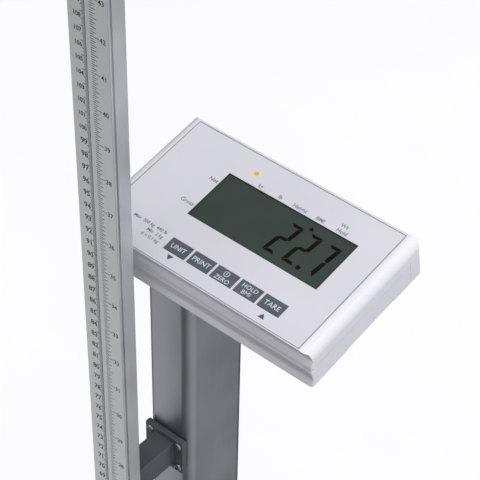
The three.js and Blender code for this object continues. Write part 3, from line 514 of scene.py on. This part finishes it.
# %% Round the edges of what shows
EDGE_RADIUS_MM = {
    "base_frame": 0.8, "platform_tray": 1.0, "rear_deck": 0.8, "column_tube": 0.3,
    "head_bracket": 0.5, "head_yoke": 0.4, "tilt_pin": 0.4, "tilt_knob": 0.8,
    "rod_outer": 0.2, "rod_inner": 0.2, "rod_end_block": 0.2, "rod_bottom_cap": 0.5,
    "rod_top_cap": 0.6, "rod_standoff_lower": 0.8, "rod_standoff_upper": 0.8, "rod_lock_screw": 0.6,
    "carriage": 0.3, "head_plate_pin": 0.3, "head_plate": 0.8, "top_cover": 0.2,
    "bottom_housing": 0.3, "rear_cover": 0.3, "overlay_film": 0.08, "battery_door": 0.2,
    "port_plug": 0.3, "wheel_axle_left": 0.4, "wheel_axle_right": 0.4, "status_lamp": 0.2,
}
EDGE_RADIUS_MM.update({n: 0.12 for n in BODY_OF if n.startswith("key_") and n != "key_sheet"})
EDGE_RADIUS_MM.update({n: 0.25 for n in BODY_OF if "_screw_" in n or "_bolt_" in n})
FLAT_WITHIN = radians(0.4)


def merged_copy(node_name):
    """A bmesh of a frame node, its loose triangles joined and dissolved into whole faces."""
    bm = bmesh.new()
    bm.from_mesh(frame["nodes"][node_name].data)
    bmesh.ops.remove_doubles(bm, verts=bm.verts, dist=MERGE_MM * MM)
    bmesh.ops.dissolve_limit(bm, angle_limit=FLAT_WITHIN, verts=bm.verts, edges=bm.edges)
    return bm


def rounded_copy(node_name, radius_mm):
    """A merged copy of a node with rounded edges, standing in for it."""
    bm = merged_copy(node_name)
    if node_name in FRONT_PROFILE:
        shape_front(bm, FRONT_PROFILE[node_name])
    round_edges(bm, radius_mm)
    slot = SLOT_OF[node_name]
    return make_piece(bm, node_name + "_rounded", FINISH[slot], BODY_OF[node_name],
                      [node_name])


rounded = [rounded_copy(*item) for item in EDGE_RADIUS_MM.items()]
print("rounded", len(rounded), "pieces,", sum(len(o.data.polygons) for o in rounded), "faces")

# %% [markdown]
# ## Lettering
# Words and numbers are set as text, turned into a mesh before they are placed, and gathered into
# one thin printed piece for each ink. A real legend is screen printed, so it has next to no
# height: 0.03 mm is enough to lie clear of the surface.

# %% Lettering helper
INK_MM = 0.03
CLEAR_MM = 0.01        # a print's gap from its surface, so that the two don't share a plane
CAPITAL = 0.7          # height of a capital letter in a text of size 1


def print_words(bm, words, place, bold_mm=0.0):
    """Adds words to a bmesh. Each is (text, capital height, x, y, alignment), in millimetres on
    the surface that place gives, with its z axis out of the surface."""
    for text, height, x, y, side in words:
        curve = bpy.data.curves.new("word", "FONT")
        curve.body = text
        curve.size = height * MM / CAPITAL
        curve.align_x = side
        curve.resolution_u = 3
        curve.extrude = INK_MM * MM / 2
        curve.offset = bold_mm * MM
        word = bpy.data.objects.new("word", curve)
        mesh = bpy.data.meshes.new_from_object(word)
        lift = Matrix.Translation((x * MM, (y - height / 2) * MM, INK_MM * MM / 2))
        mesh.transform(place @ lift)
        bm.from_mesh(mesh)
        bpy.data.objects.remove(word)
        bpy.data.meshes.remove(mesh)
        bpy.data.curves.remove(curve)


def add_shape(bm, points, place):
    """Adds one flat shape from its corners in millimetres."""
    bm.faces.new([bm.verts.new(place @ Vector((x * MM, y * MM, 0))) for x, y in points])


def add_bar(bm, x0, x1, y0, y1, place):
    """Adds a flat rectangle, such as a tick."""
    add_shape(bm, [(x0, y0), (x1, y0), (x1, y1), (x0, y1)], place)


def give_ink_depth(bm, place):
    """Makes every flat shape so far as thick as the ink."""
    raised = bmesh.ops.extrude_face_region(bm, geom=bm.faces[:])["geom"]
    bmesh.ops.translate(bm, vec=place.to_3x3() @ Vector((0, 0, INK_MM * MM)),
                        verts=[v for v in raised if isinstance(v, bmesh.types.BMVert)])
    bmesh.ops.recalc_face_normals(bm, faces=bm.faces)


print("lettering helpers ready")

# %% [markdown]
# ## The height rod's scales
# The rod's face carries two scales. On the left are centimetres with a tick at every millimetre,
# and on the right are inches in sixteenths. Both read the height above the platform, so each
# mark's place follows from the platform's height. The inner bar reads where it leaves the outer
# rod, so its numbers grow downwards.

# %% Print the outer rod
rod_low, rod_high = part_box("rod_outer")
FACE_LEFT = rod_low.x / MM
FACE_Y = rod_low.y
PLATFORM_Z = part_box("platform_mat")[1].z / MM
CM_LINE, INCH_LINE = 13.6, 17.4      # the two base lines, from the rod's left edge
TICK = 0.4
CM_TICKS = 4.2, 3.2, 2.2             # lengths at each centimetre, half centimetre and millimetre
INCH_TICKS = {1: 2.7, 2: 4.2, 4: 4.8, 8: 5.6, 16: 6.8}    # lengths, by sixteenths of an inch
CM_WORD = {"height": 3.9, "height_from_100": 3.0, "right": 10.6, "drop": 2.8}
INCH_WORD = {"height": 3.4, "left": INCH_LINE + 7.2}
INCH = 25.4


def upright_face(x_mm, y):
    """The frame of an upright face that looks to -Y, with its origin on the platform's level."""
    origin = Vector((x_mm * MM, y, PLATFORM_Z * MM))
    return Matrix.Translation(origin) @ Matrix.Rotation(pi / 2, 4, "X")


def centimetre_marks(bm, place, line, first_mm, last_mm, height_of):
    """Millimetre ticks to the left of a line. height_of turns a reading into a height."""
    for reading in range(first_mm, last_mm + 1):
        length = CM_TICKS[0 if reading % 10 == 0 else 1 if reading % 5 == 0 else 2]
        z = height_of(reading)
        add_bar(bm, line - length, line, z - TICK / 2, z + TICK / 2, place)


def inch_marks(bm, place, first, last):
    """Ticks in sixteenths of an inch to the right of the inch line, longer at each halving."""
    for sixteenth in range(first * 16, last * 16 + 1):
        length = INCH_TICKS[max(step for step in INCH_TICKS if sixteenth % step == 0)]
        z = sixteenth * INCH / 16
        add_bar(bm, INCH_LINE, INCH_LINE + length, z - TICK / 2, z + TICK / 2, place)


first_cm = int((rod_low.z / MM - PLATFORM_Z) / 10) + 1
last_cm = int((rod_high.z / MM - PLATFORM_Z) / 10)
first_mm, last_mm = first_cm * 10, last_cm * 10 - 2
first_inch, last_inch = int(first_cm * 10 / INCH) + 1, int(last_cm * 10 / INCH)
face = upright_face(FACE_LEFT, FACE_Y)
bm = bmesh.new()
centimetre_marks(bm, face, CM_LINE, first_mm, last_mm, lambda mm: mm)
add_bar(bm, CM_LINE - 0.1, CM_LINE + 0.25, first_mm, last_mm, face)
inch_marks(bm, face, first_inch, last_inch)
give_ink_depth(bm, face)
cm_words = [(str(n), CM_WORD["height"] if n < 100 else CM_WORD["height_from_100"],
             CM_WORD["right"], n * 10 - CM_WORD["drop"], "RIGHT")
            for n in range(first_cm + 1, last_cm)]
inch_words = [(str(n), INCH_WORD["height"], INCH_WORD["left"], n * INCH, "LEFT")
              for n in range(first_inch, last_inch)]
print_words(bm, cm_words, face, bold_mm=0.12)
print_words(bm, inch_words, face, bold_mm=0.08)
make_piece(bm, "rod_scale_print", rod_ink, "base")
print("outer rod reads", first_cm, "to", last_cm, "cm")

# %% Print the inner bar
bar_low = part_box("rod_inner")[0]
BAR_FRONT = FACE_Y + 4.9 * MM        # the bar's face is seen at the bottom of the rod's channel
BAR_LINE = 15.0
BAR_WORD = {"height": 2.6, "right": 11.6}
rod_top_mm = rod_high.z / MM - PLATFORM_Z
plate_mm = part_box("head_plate")[0].z / MM - PLATFORM_Z
bar_last = int(plate_mm + (rod_high.z - bar_low.z) / MM) // 10 - 1
bm = bmesh.new()
bar_face = upright_face(FACE_LEFT, BAR_FRONT)


def bar_height(reading):
    """Height, at rest, of the mark that reaches the rod's top when the plate is that high."""
    return rod_top_mm + plate_mm - reading


centimetre_marks(bm, bar_face, BAR_LINE, int(plate_mm) + 6, bar_last * 10, bar_height)
give_ink_depth(bm, bar_face)
bar_words = [(str(n), BAR_WORD["height"], BAR_WORD["right"], bar_height(n * 10), "RIGHT")
             for n in range(int(plate_mm / 10) + 1, bar_last)]
print_words(bm, bar_words, bar_face, bold_mm=0.07)
make_piece(bm, "inner_bar_print", rod_ink, "inner_rod")
print("inner bar reads to", bar_last, "cm")

# %% [markdown]
# ## The display
# A seven-segment digit is drawn from seven bars that meet at mitred corners, and the whole digit
# leans to the right. The cell lies a little under the panel, so its marks are
# placed on the cell's own face.

# %% Digits
CELL_FACE = -1.5                     # the cell's face, in millimetres from the panel's face
DIGIT = {"half_width": 4.75, "half_height": 13.6, "upright": 3.0, "flat": 2.4, "gap": 0.22,
         "lean": 0.122}
BARS = {"2": "abged", "7": "abc"}


def bar_corners(letter):
    """Corners of one bar of an upright digit centred on the origin."""
    w, h, t, f, g = (DIGIT[k] for k in ("half_width", "half_height", "upright", "flat", "gap"))
    top = [(-w + g, h), (-w + f + g, h - f), (w - f - g, h - f), (w - g, h)]
    side = [(w, h - g), (w - t, h - t - g), (w - t, f / 2 + g), (w - t / 2, g), (w, g + 0.4)]
    middle = [(-w + f / 2 + g, 0), (-w + f + g, -f / 2), (w - f - g, -f / 2), (w - f / 2 - g, 0),
              (w - f - g, f / 2), (-w + f + g, f / 2)]
    turned_over = {"a": (top, 1, 1), "d": (top, 1, -1), "b": (side, 1, 1), "c": (side, 1, -1),
                   "f": (side, -1, 1), "e": (side, -1, -1), "g": (middle, 1, 1)}
    points, sx, sy = turned_over[letter]
    return [(x * sx, y * sy) for x, y in points]


cell = PANEL @ Matrix.Translation((0, 0, (CELL_FACE + 2 * CLEAR_MM) * MM))
# The eye looks down past the window's edge, so a mark on the cell seems to sit lower and to
# the right of the same place on the panel. These places allow for it.
DIGIT_MIDDLE = -0.6
DIGIT_PLACES = [("2", 9.85), ("2", 25.1), ("7", 40.1)]
POINT_U, POINT_V = (30.5, 33.5), (DIGIT_MIDDLE - 14.1, DIGIT_MIDDLE - 11.3)
LEGEND_POINTER = [(17.8, 14.2), (21.8, 14.2), (19.8, 17.4)]      # points at the legend in use
bm = bmesh.new()
for figure, u in DIGIT_PLACES:
    for letter in BARS[figure]:
        points = [(x + u + y * DIGIT["lean"], y + DIGIT_MIDDLE) for x, y in bar_corners(letter)]
        add_shape(bm, points, cell)
add_bar(bm, *POINT_U, *POINT_V, cell)
add_shape(bm, LEGEND_POINTER, cell)
give_ink_depth(bm, cell)
make_piece(bm, "display_digits", segment_ink, "head")
print("display shows", "".join(f for f, _ in DIGIT_PLACES))

# %% [markdown]
# Three thin outlines finish the panel. A grey band is drawn all round the film's cut edge, and
# the lamp has a pale yellow ring of painted glow round it. The window has a rim sunk below the film.
# The rim and the film's edge start as one rectangle, which is inset to leave only its border. An
# inset follows the face's normal, and a face made by hand has none until the bmesh's normals are
# updated. The film's edge gets its normal from the bevel of its corners. The rim has no bevel, so
# its border has no width, and only a thin upright wall is left of it.

# %% Window rim, film edge and painted lamp glow
RIM = {"reveal": 0.05, "width": 1.4, "top": -0.45, "foot": -0.6, "back": -0.68}
FILM_EDGE = {"width": 0.55, "corner": 1.0}
PAINTED_GLOW_RING = {"inner": 1.9, "outer": 2.85}
rim_plastic = worn_finish("moulded_window_rim", "#757c78", "#7f8682", 0.5, 12, (0.3, 0.4),
                          0.004)
# The film's edge is drawn as a grey band all round, darker than the film.
edge_grey_band = worn_finish("film_edge_grey_band", "#92929a", "#9e9ea6", 0.5, 20, (0.5, 0.6),
                            0.002)


def rectangle_border(bm, half_u, half_v, width, middle=(0, 0), corner=0.0):
    """Flat border of a rectangle on the panel. Returns the vertices of its outer edge."""
    u, v = middle
    add_shape(bm, [(u - half_u, v - half_v), (u + half_u, v - half_v), (u + half_u, v + half_v),
                   (u - half_u, v + half_v)], PANEL)
    if corner:
        bmesh.ops.bevel(bm, geom=bm.verts[:], offset=corner * MM, offset_type="OFFSET", segments=3,
                        profile=0.5, affect="VERTICES", clamp_overlap=True, material=-1)
    bm.faces.ensure_lookup_table()
    middle_face = bm.faces[0]
    edge = set(middle_face.verts)
    bmesh.ops.inset_region(bm, faces=[middle_face], thickness=width * MM, depth=0,
                           use_even_offset=True, use_boundary=True)
    bmesh.ops.delete(bm, geom=[middle_face], context="FACES_ONLY")
    return edge


film_low, film_high = panel_box("overlay_film")
lens_high = panel_box("display_lens")[1]
into_panel = PANEL.inverted()
film_points = [into_panel @ v.co for v in frame["nodes"]["overlay_film"].data.vertices]
opening = [p for p in film_points if abs(p.x) < lens_high.x and abs(p.y) < lens_high.y]
half_u = max(p.x for p in opening) / MM
half_v = max(p.y for p in opening) / MM
bm = bmesh.new()
outer_edge = rectangle_border(bm, half_u - RIM["reveal"], half_v - RIM["reveal"], RIM["width"])
for vert in bm.verts:
    drop = RIM["top"] if vert in outer_edge else RIM["foot"]
    vert.co += OUT_OF_PANEL * drop * MM
back_faces = bmesh.ops.extrude_face_region(bm, geom=bm.faces[:])["geom"]
for vert in [v for v in back_faces if isinstance(v, bmesh.types.BMVert)]:
    place = into_panel @ vert.co
    place.z = RIM["back"] * MM
    vert.co = PANEL @ place
bmesh.ops.recalc_face_normals(bm, faces=bm.faces)
make_piece(bm, "window_rim", rim_plastic, "head")

bm = bmesh.new()
film_middle = (film_low + film_high) / 2 / MM
rectangle_border(bm, (film_high.x - film_low.x) / 2 / MM, (film_high.y - film_low.y) / 2 / MM,
                 FILM_EDGE["width"], film_middle[:2], FILM_EDGE["corner"])
give_ink_depth(bm, PANEL)
make_piece(bm, "film_edge", edge_grey_band, "head")

# A ring of painted glow round the lamp: its halo of light drawn as a pale yellow print.
lamp_low, lamp_high = panel_box("status_lamp")
lamp_place = PANEL @ Matrix.Translation(
    ((lamp_low.x + lamp_high.x) / 2, (lamp_low.y + lamp_high.y) / 2, max(lamp_high.z, 0)))
bm = bmesh.new()
for radius in PAINTED_GLOW_RING.values():
    bmesh.ops.create_circle(bm, segments=40, radius=radius * MM, cap_ends=False, matrix=lamp_place)
bmesh.ops.bridge_loops(bm, edges=bm.edges[:])
give_ink_depth(bm, lamp_place)
make_piece(bm, "painted_lamp_glow_ring", painted_lamp_glow, "head")
print("window opening", round(2 * half_u, 1), "by", round(2 * half_v, 1), "mm")

# %% [markdown]
# ## Legends
# The panel names what the display can show along its top and left edges, and the keys carry
# their functions. All of these are plain words and signs. Each is placed by the panel's own
# frame, and a key's legend rides on that key, so it goes down with it.

# %% Panel legends
panel_face = PANEL @ Matrix.Translation((0, 0, CLEAR_MM * MM))
SMALL, MEDIUM, CAPACITY = 2.9, 3.0, 2.5
annunciators = [
    ("kg", SMALL, -28.5, 23.9, "CENTER"), ("lb", SMALL, -12.3, 23.9, "CENTER"),
    ("Height", SMALL, 3.9, 23.9, "CENTER"), ("BMI", SMALL, 20.3, 23.9, "CENTER"),
    ("Wt", SMALL, 36.2, 28.5, "CENTER"), ("Hold", SMALL, 37.5, 23.8, "CENTER"),
    ("Net", MEDIUM, -57.4, 10.7, "CENTER"), ("Gross", MEDIUM, -59.4, -13.0, "CENTER"),
    ("Max  200 kg  440 lb", CAPACITY, -52, -40.6, "RIGHT"),
    ("Min  2 kg", CAPACITY, -52, -45.0, "RIGHT"), ("d = 0.1 kg", CAPACITY, -52, -49.4, "RIGHT"),
]
bm = bmesh.new()
print_words(bm, annunciators, panel_face, bold_mm=0.08)
make_piece(bm, "panel_legends", panel_ink, "head")
bm = bmesh.new()
add_shape(bm, [(-40.6, -52.9), (-38.1, -56.6), (-35.6, -52.9)], panel_face)
add_shape(bm, [(36.3, -57.4), (41.3, -57.4), (38.8, -53.7)], panel_face)
give_ink_depth(bm, panel_face)
make_piece(bm, "panel_arrows", arrow_ink, "head")
print("legends", len(annunciators))

# %% Key legends
KEY_WORDS = {
    "key_unit": [("UNIT", 3.6, 0, 0)], "key_print": [("PRINT", 3.6, 0, 0)],
    "key_zero": [("ZERO", 3.1, 0, -2.7)],
    "key_hold": [("HOLD", 3.1, 0, 2.1), ("BMI", 3.1, 0, -2.3)], "key_tare": [("TARE", 3.6, 0, 0)],
}
POWER_RING = {"radius": 1.9, "line": 0.4, "gap": radians(28), "v": 2.1}
POWER_STROKE = (1.4, 4.4)


def power_sign(bm, place):
    """The sign for power: a ring with a gap at the top, and a stroke through the gap."""
    ring, half = POWER_RING["radius"], POWER_RING["line"] / 2
    centre = place @ Matrix.Translation((0, POWER_RING["v"] * MM, 0))
    start = centre @ Matrix.Rotation(-POWER_RING["gap"], 4, "Z")
    corners = [(ring - half, 0), (ring + half, 0), (ring + half, INK_MM), (ring - half, INK_MM)]
    section = bm.faces.new([bm.verts.new(start @ Vector((0, r * MM, n * MM))) for r, n in corners])
    bmesh.ops.spin(bm, geom=[*section.verts, *section.edges, section], cent=centre.translation,
                   axis=centre.to_3x3() @ Vector((0, 0, -1)),
                   angle=2 * pi - 2 * POWER_RING["gap"], steps=24)
    bmesh.ops.recalc_face_normals(bm, faces=bm.faces)


for node_name, words in KEY_WORDS.items():
    low, high = panel_box(node_name)
    top_middle = ((low.x + high.x) / 2, (low.y + high.y) / 2, high.z + CLEAR_MM * MM)
    face = PANEL @ Matrix.Translation(top_middle)
    bm = bmesh.new()
    if node_name == "key_zero":
        add_bar(bm, -POWER_RING["line"] / 2, POWER_RING["line"] / 2, *POWER_STROKE, face)
        give_ink_depth(bm, face)
        power_sign(bm, face)
    print_words(bm, [(*word, "CENTER") for word in words], face)
    make_piece(bm, node_name + "_legend", key_ink, BODY_OF[node_name])
print("keys", len(KEY_WORDS))

# %% [markdown]
# ## The platform's mat
# The mat is rubber with a rib every few millimetres across it, so that shoes don't slip. The
# frame's mat is a plain sheet to the ribs' tops. Its copy is lowered to the ribs' roots, and each
# rib is a low bar with its edges rounded, cut short where the mat's corners turn.

# %% Ribbed mat
RIB = {"pitch": 6.0, "width": 2.6, "height": 0.9, "sunk": 0.3, "round": 0.4, "inset": 3.0}
MAT_CORNER, MAT_EDGE = 18.0, 0.5
mat_low, mat_high = (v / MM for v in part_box("platform_mat"))
bm = merged_copy("platform_mat")
for vert in bm.verts:
    if vert.co.z > (mat_low.z + mat_high.z) / 2 * MM:
        vert.co.z -= RIB["height"] * MM
round_edges(bm, MAT_EDGE)
ribs = bmesh.new()
count = int((mat_high.y - mat_low.y - 2 * RIB["inset"]) / RIB["pitch"])
middle_y = (mat_low.y + mat_high.y) / 2
for i in range(count):
    y = middle_y + (i - (count - 1) / 2) * RIB["pitch"]
    into_corner = max(0, MAT_CORNER - (mat_high.y - y), MAT_CORNER - (y - mat_low.y))
    cut_back = MAT_CORNER - (MAT_CORNER ** 2 - into_corner ** 2) ** 0.5
    reach = mat_high.x - RIB["inset"] - cut_back
    solid_box(ribs, (-reach, y - RIB["width"] / 2, mat_high.z - RIB["height"] - RIB["sunk"]),
              (reach, y + RIB["width"] / 2, mat_high.z))
round_edges(ribs, RIB["round"], segments=1)
rib_mesh = bpy.data.meshes.new("ribs")
ribs.to_mesh(rib_mesh)
ribs.free()
bm.from_mesh(rib_mesh)
bpy.data.meshes.remove(rib_mesh)
make_piece(bm, "ribbed_mat", mat_rubber, "base", ["platform_mat"])
print("mat has", count, "ribs")

# %% [markdown]
# ## Wheels and feet
# A wheel and a foot pad are both turned shapes, so each is one profile spun round its axis. The
# wheel has a tread of three grooves and a recessed web. The foot is a rubber pad with a flared
# rim on a threaded stud. The thread is drawn as rings, one for each turn, because the difference
# from a true helix can't be seen at 1.25 mm pitch.

# %% Wheels
GROOVE = {"spacing": 3.6, "depth": 0.9, "half_mouth": 0.9, "half_floor": 0.5}
for side in ("left", "right"):
    low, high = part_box("wheel_" + side)
    centre = (low + high) / 2
    radius, half = (high.z - low.z) / 2 / MM, (high.x - low.x) / 2 / MM
    floor_radius = radius - GROOVE["depth"]
    tread = []
    for middle in (-GROOVE["spacing"], 0, GROOVE["spacing"]):
        tread += [(radius, middle - GROOVE["half_mouth"]),
                  (floor_radius, middle - GROOVE["half_floor"]),
                  (floor_radius, middle + GROOVE["half_floor"]),
                  (radius, middle + GROOVE["half_mouth"])]
    face = [(radius, half - 2.6), (radius - 0.9, half - 0.8), (radius - 2.6, half),
            (radius - 5, half), (radius - 6.2, half - 2.6), (10.2, half - 2.8), (9.2, half),
            (4.4, half)]
    profile = [(r, -h) for r, h in reversed(face)] + tread + face
    bm = bmesh.new()
    turned(bm, profile, "X", centre, steps=64)
    make_piece(bm, "treaded_wheel_" + side, tyre_rubber, "wheel_" + side,
               ["wheel_" + side])
print("wheels ready")

# %% Feet
THREAD = {"pitch": 1.25, "radius": 5.0, "root": 4.4, "start": 15, "end_radius": 3.6}
NUT = {"radius": 9, "height": 5, "middle": 12.5, "round": 0.6}
PAD = [(0, 0.4), (15, 0.4), (16, 0), (19, 0), (19.7, 0.4), (20, 1.2), (20, 3.2), (19.4, 4.2),
       (17, 4.9), (10.5, 9), (9.2, 9.8), (7, 10), (0, 10)]
for corner in ("front_left", "front_right", "rear_left", "rear_right"):
    node_name = "foot_" + corner
    low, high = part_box(node_name)
    axis = Vector(((low.x + high.x) / 2, (low.y + high.y) / 2, 0))
    bm = bmesh.new()
    turned(bm, PAD, "Z", axis)
    make_piece(bm, "pad_" + corner, tyre_rubber, node_name, [node_name])
    stud_top = high.z / MM
    thread_top = stud_top - 1
    stud = [(0, 9.5), (THREAD["root"], 9.5)]
    for i in range(int((thread_top - THREAD["start"]) / THREAD["pitch"])):
        z = THREAD["start"] + i * THREAD["pitch"]
        stud += [(THREAD["root"], z), (THREAD["radius"], z + THREAD["pitch"] / 2)]
    stud += [(THREAD["root"], thread_top), (THREAD["end_radius"], stud_top), (0, stud_top)]
    bm = bmesh.new()
    turned(bm, stud, "Z", axis, steps=24)
    nut = bmesh.ops.create_cone(
        bm, cap_ends=True, segments=6, radius1=NUT["radius"] * MM, radius2=NUT["radius"] * MM,
        depth=NUT["height"] * MM,
        matrix=Matrix.Translation(axis + Vector((0, 0, NUT["middle"] * MM))))["verts"]
    rim = [e for e in {e for v in nut for e in v.link_edges} if e.calc_face_angle(0) > radians(50)]
    bmesh.ops.bevel(bm, geom=rim, offset=NUT["round"] * MM, offset_type="OFFSET", segments=2,
                    profile=0.5, affect="EDGES", clamp_overlap=True, material=-1)
    make_piece(bm, "stud_" + corner, zinc_steel, node_name)
print("feet ready")

# %% [markdown]
# ## The spirit level
# A bull's-eye level is a shallow domed cup of green liquid with a bubble under the dome and a
# printed ring that the bubble should sit in. The scale stands level, so the bubble is central.

# %% Level
low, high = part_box("level_vial")
axis = Vector(((low.x + high.x) / 2, (low.y + high.y) / 2, high.z))
radius = (high.x - low.x) / 2 / MM
bm = bmesh.new()
turned(bm, [(0, -6), (radius - 0.4, -6), (radius, -5.6), (radius, -1), (radius - 0.3, -0.6),
            (radius - 2, -0.25), (radius - 5, -0.06), (0, 0)], "Z", axis)
make_piece(bm, "level_cup", vial_liquid, "base", ["level_vial"])
bm = bmesh.new()
turned(bm, [(0, -0.5), (2.6, -0.5), (3.1, -0.2), (2.4, 0.1), (1.2, 0.22), (0, 0.26)], "Z", axis, 32)
make_piece(bm, "level_bubble", bubble_air, "base")
bm = bmesh.new()
turned(bm, [(4.2, -0.3), (4.55, -0.3), (4.55, 0.06), (4.2, 0.06)], "Z", axis)
make_piece(bm, "level_ring", arrow_ink, "base")
print("level ready")

# %% [markdown]
# ## Screws on the standoffs
# Each standoff is held by two button-head screws on either side. A button head is a low dome
# with a hexagon socket, spun from half its section. Here the socket is drawn as a round hole,
# with the dome's rings carried down into its middle.

# %% Button heads
SOCKET_RADIUS = 1.5
HEAD_DOME = [(3.4, 0), (3.4, 0.5), (2.9, 1.2), (2.2, 1.65), (SOCKET_RADIUS, 1.9),
             (SOCKET_RADIUS, 0.6)]
SCREW_INSET = {"side": 4.5, "end": 5}    # from the standoff's edges
FLANGE_MM = 5                            # how far the flange's face is from the column


def button_head(bm, place):
    """A domed screw head that stands on place's plane, with its socket."""
    loops = []
    for radius, rise in HEAD_DOME:
        ring = bmesh.ops.create_circle(
            bm, segments=18, radius=radius * MM,
            matrix=place @ Matrix.Translation((0, 0, rise * MM)))["verts"]
        loops.append(list({e for v in ring for e in v.link_edges}))
    for low_loop, high_loop in zip(loops, loops[1:]):
        bmesh.ops.bridge_loops(bm, edges=low_loop + high_loop)
    bmesh.ops.contextual_create(bm, geom=loops[0])
    bmesh.ops.contextual_create(bm, geom=loops[-1])


for node_name in ("rod_standoff_lower", "rod_standoff_upper"):
    low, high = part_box(node_name)
    foot = high.y - FLANGE_MM * MM
    side, end = SCREW_INSET["side"] * MM, SCREW_INSET["end"] * MM
    bm = bmesh.new()
    for x in (low.x + side, high.x - side):
        for z in (low.z + end, high.z - end):
            place = Matrix.Translation((x, foot, z)) @ Matrix.Rotation(pi / 2, 4, "X")
            button_head(bm, place)
    bmesh.ops.recalc_face_normals(bm, faces=bm.faces)
    make_piece(bm, node_name + "_screws", zinc_steel, "base")
print("screws ready")
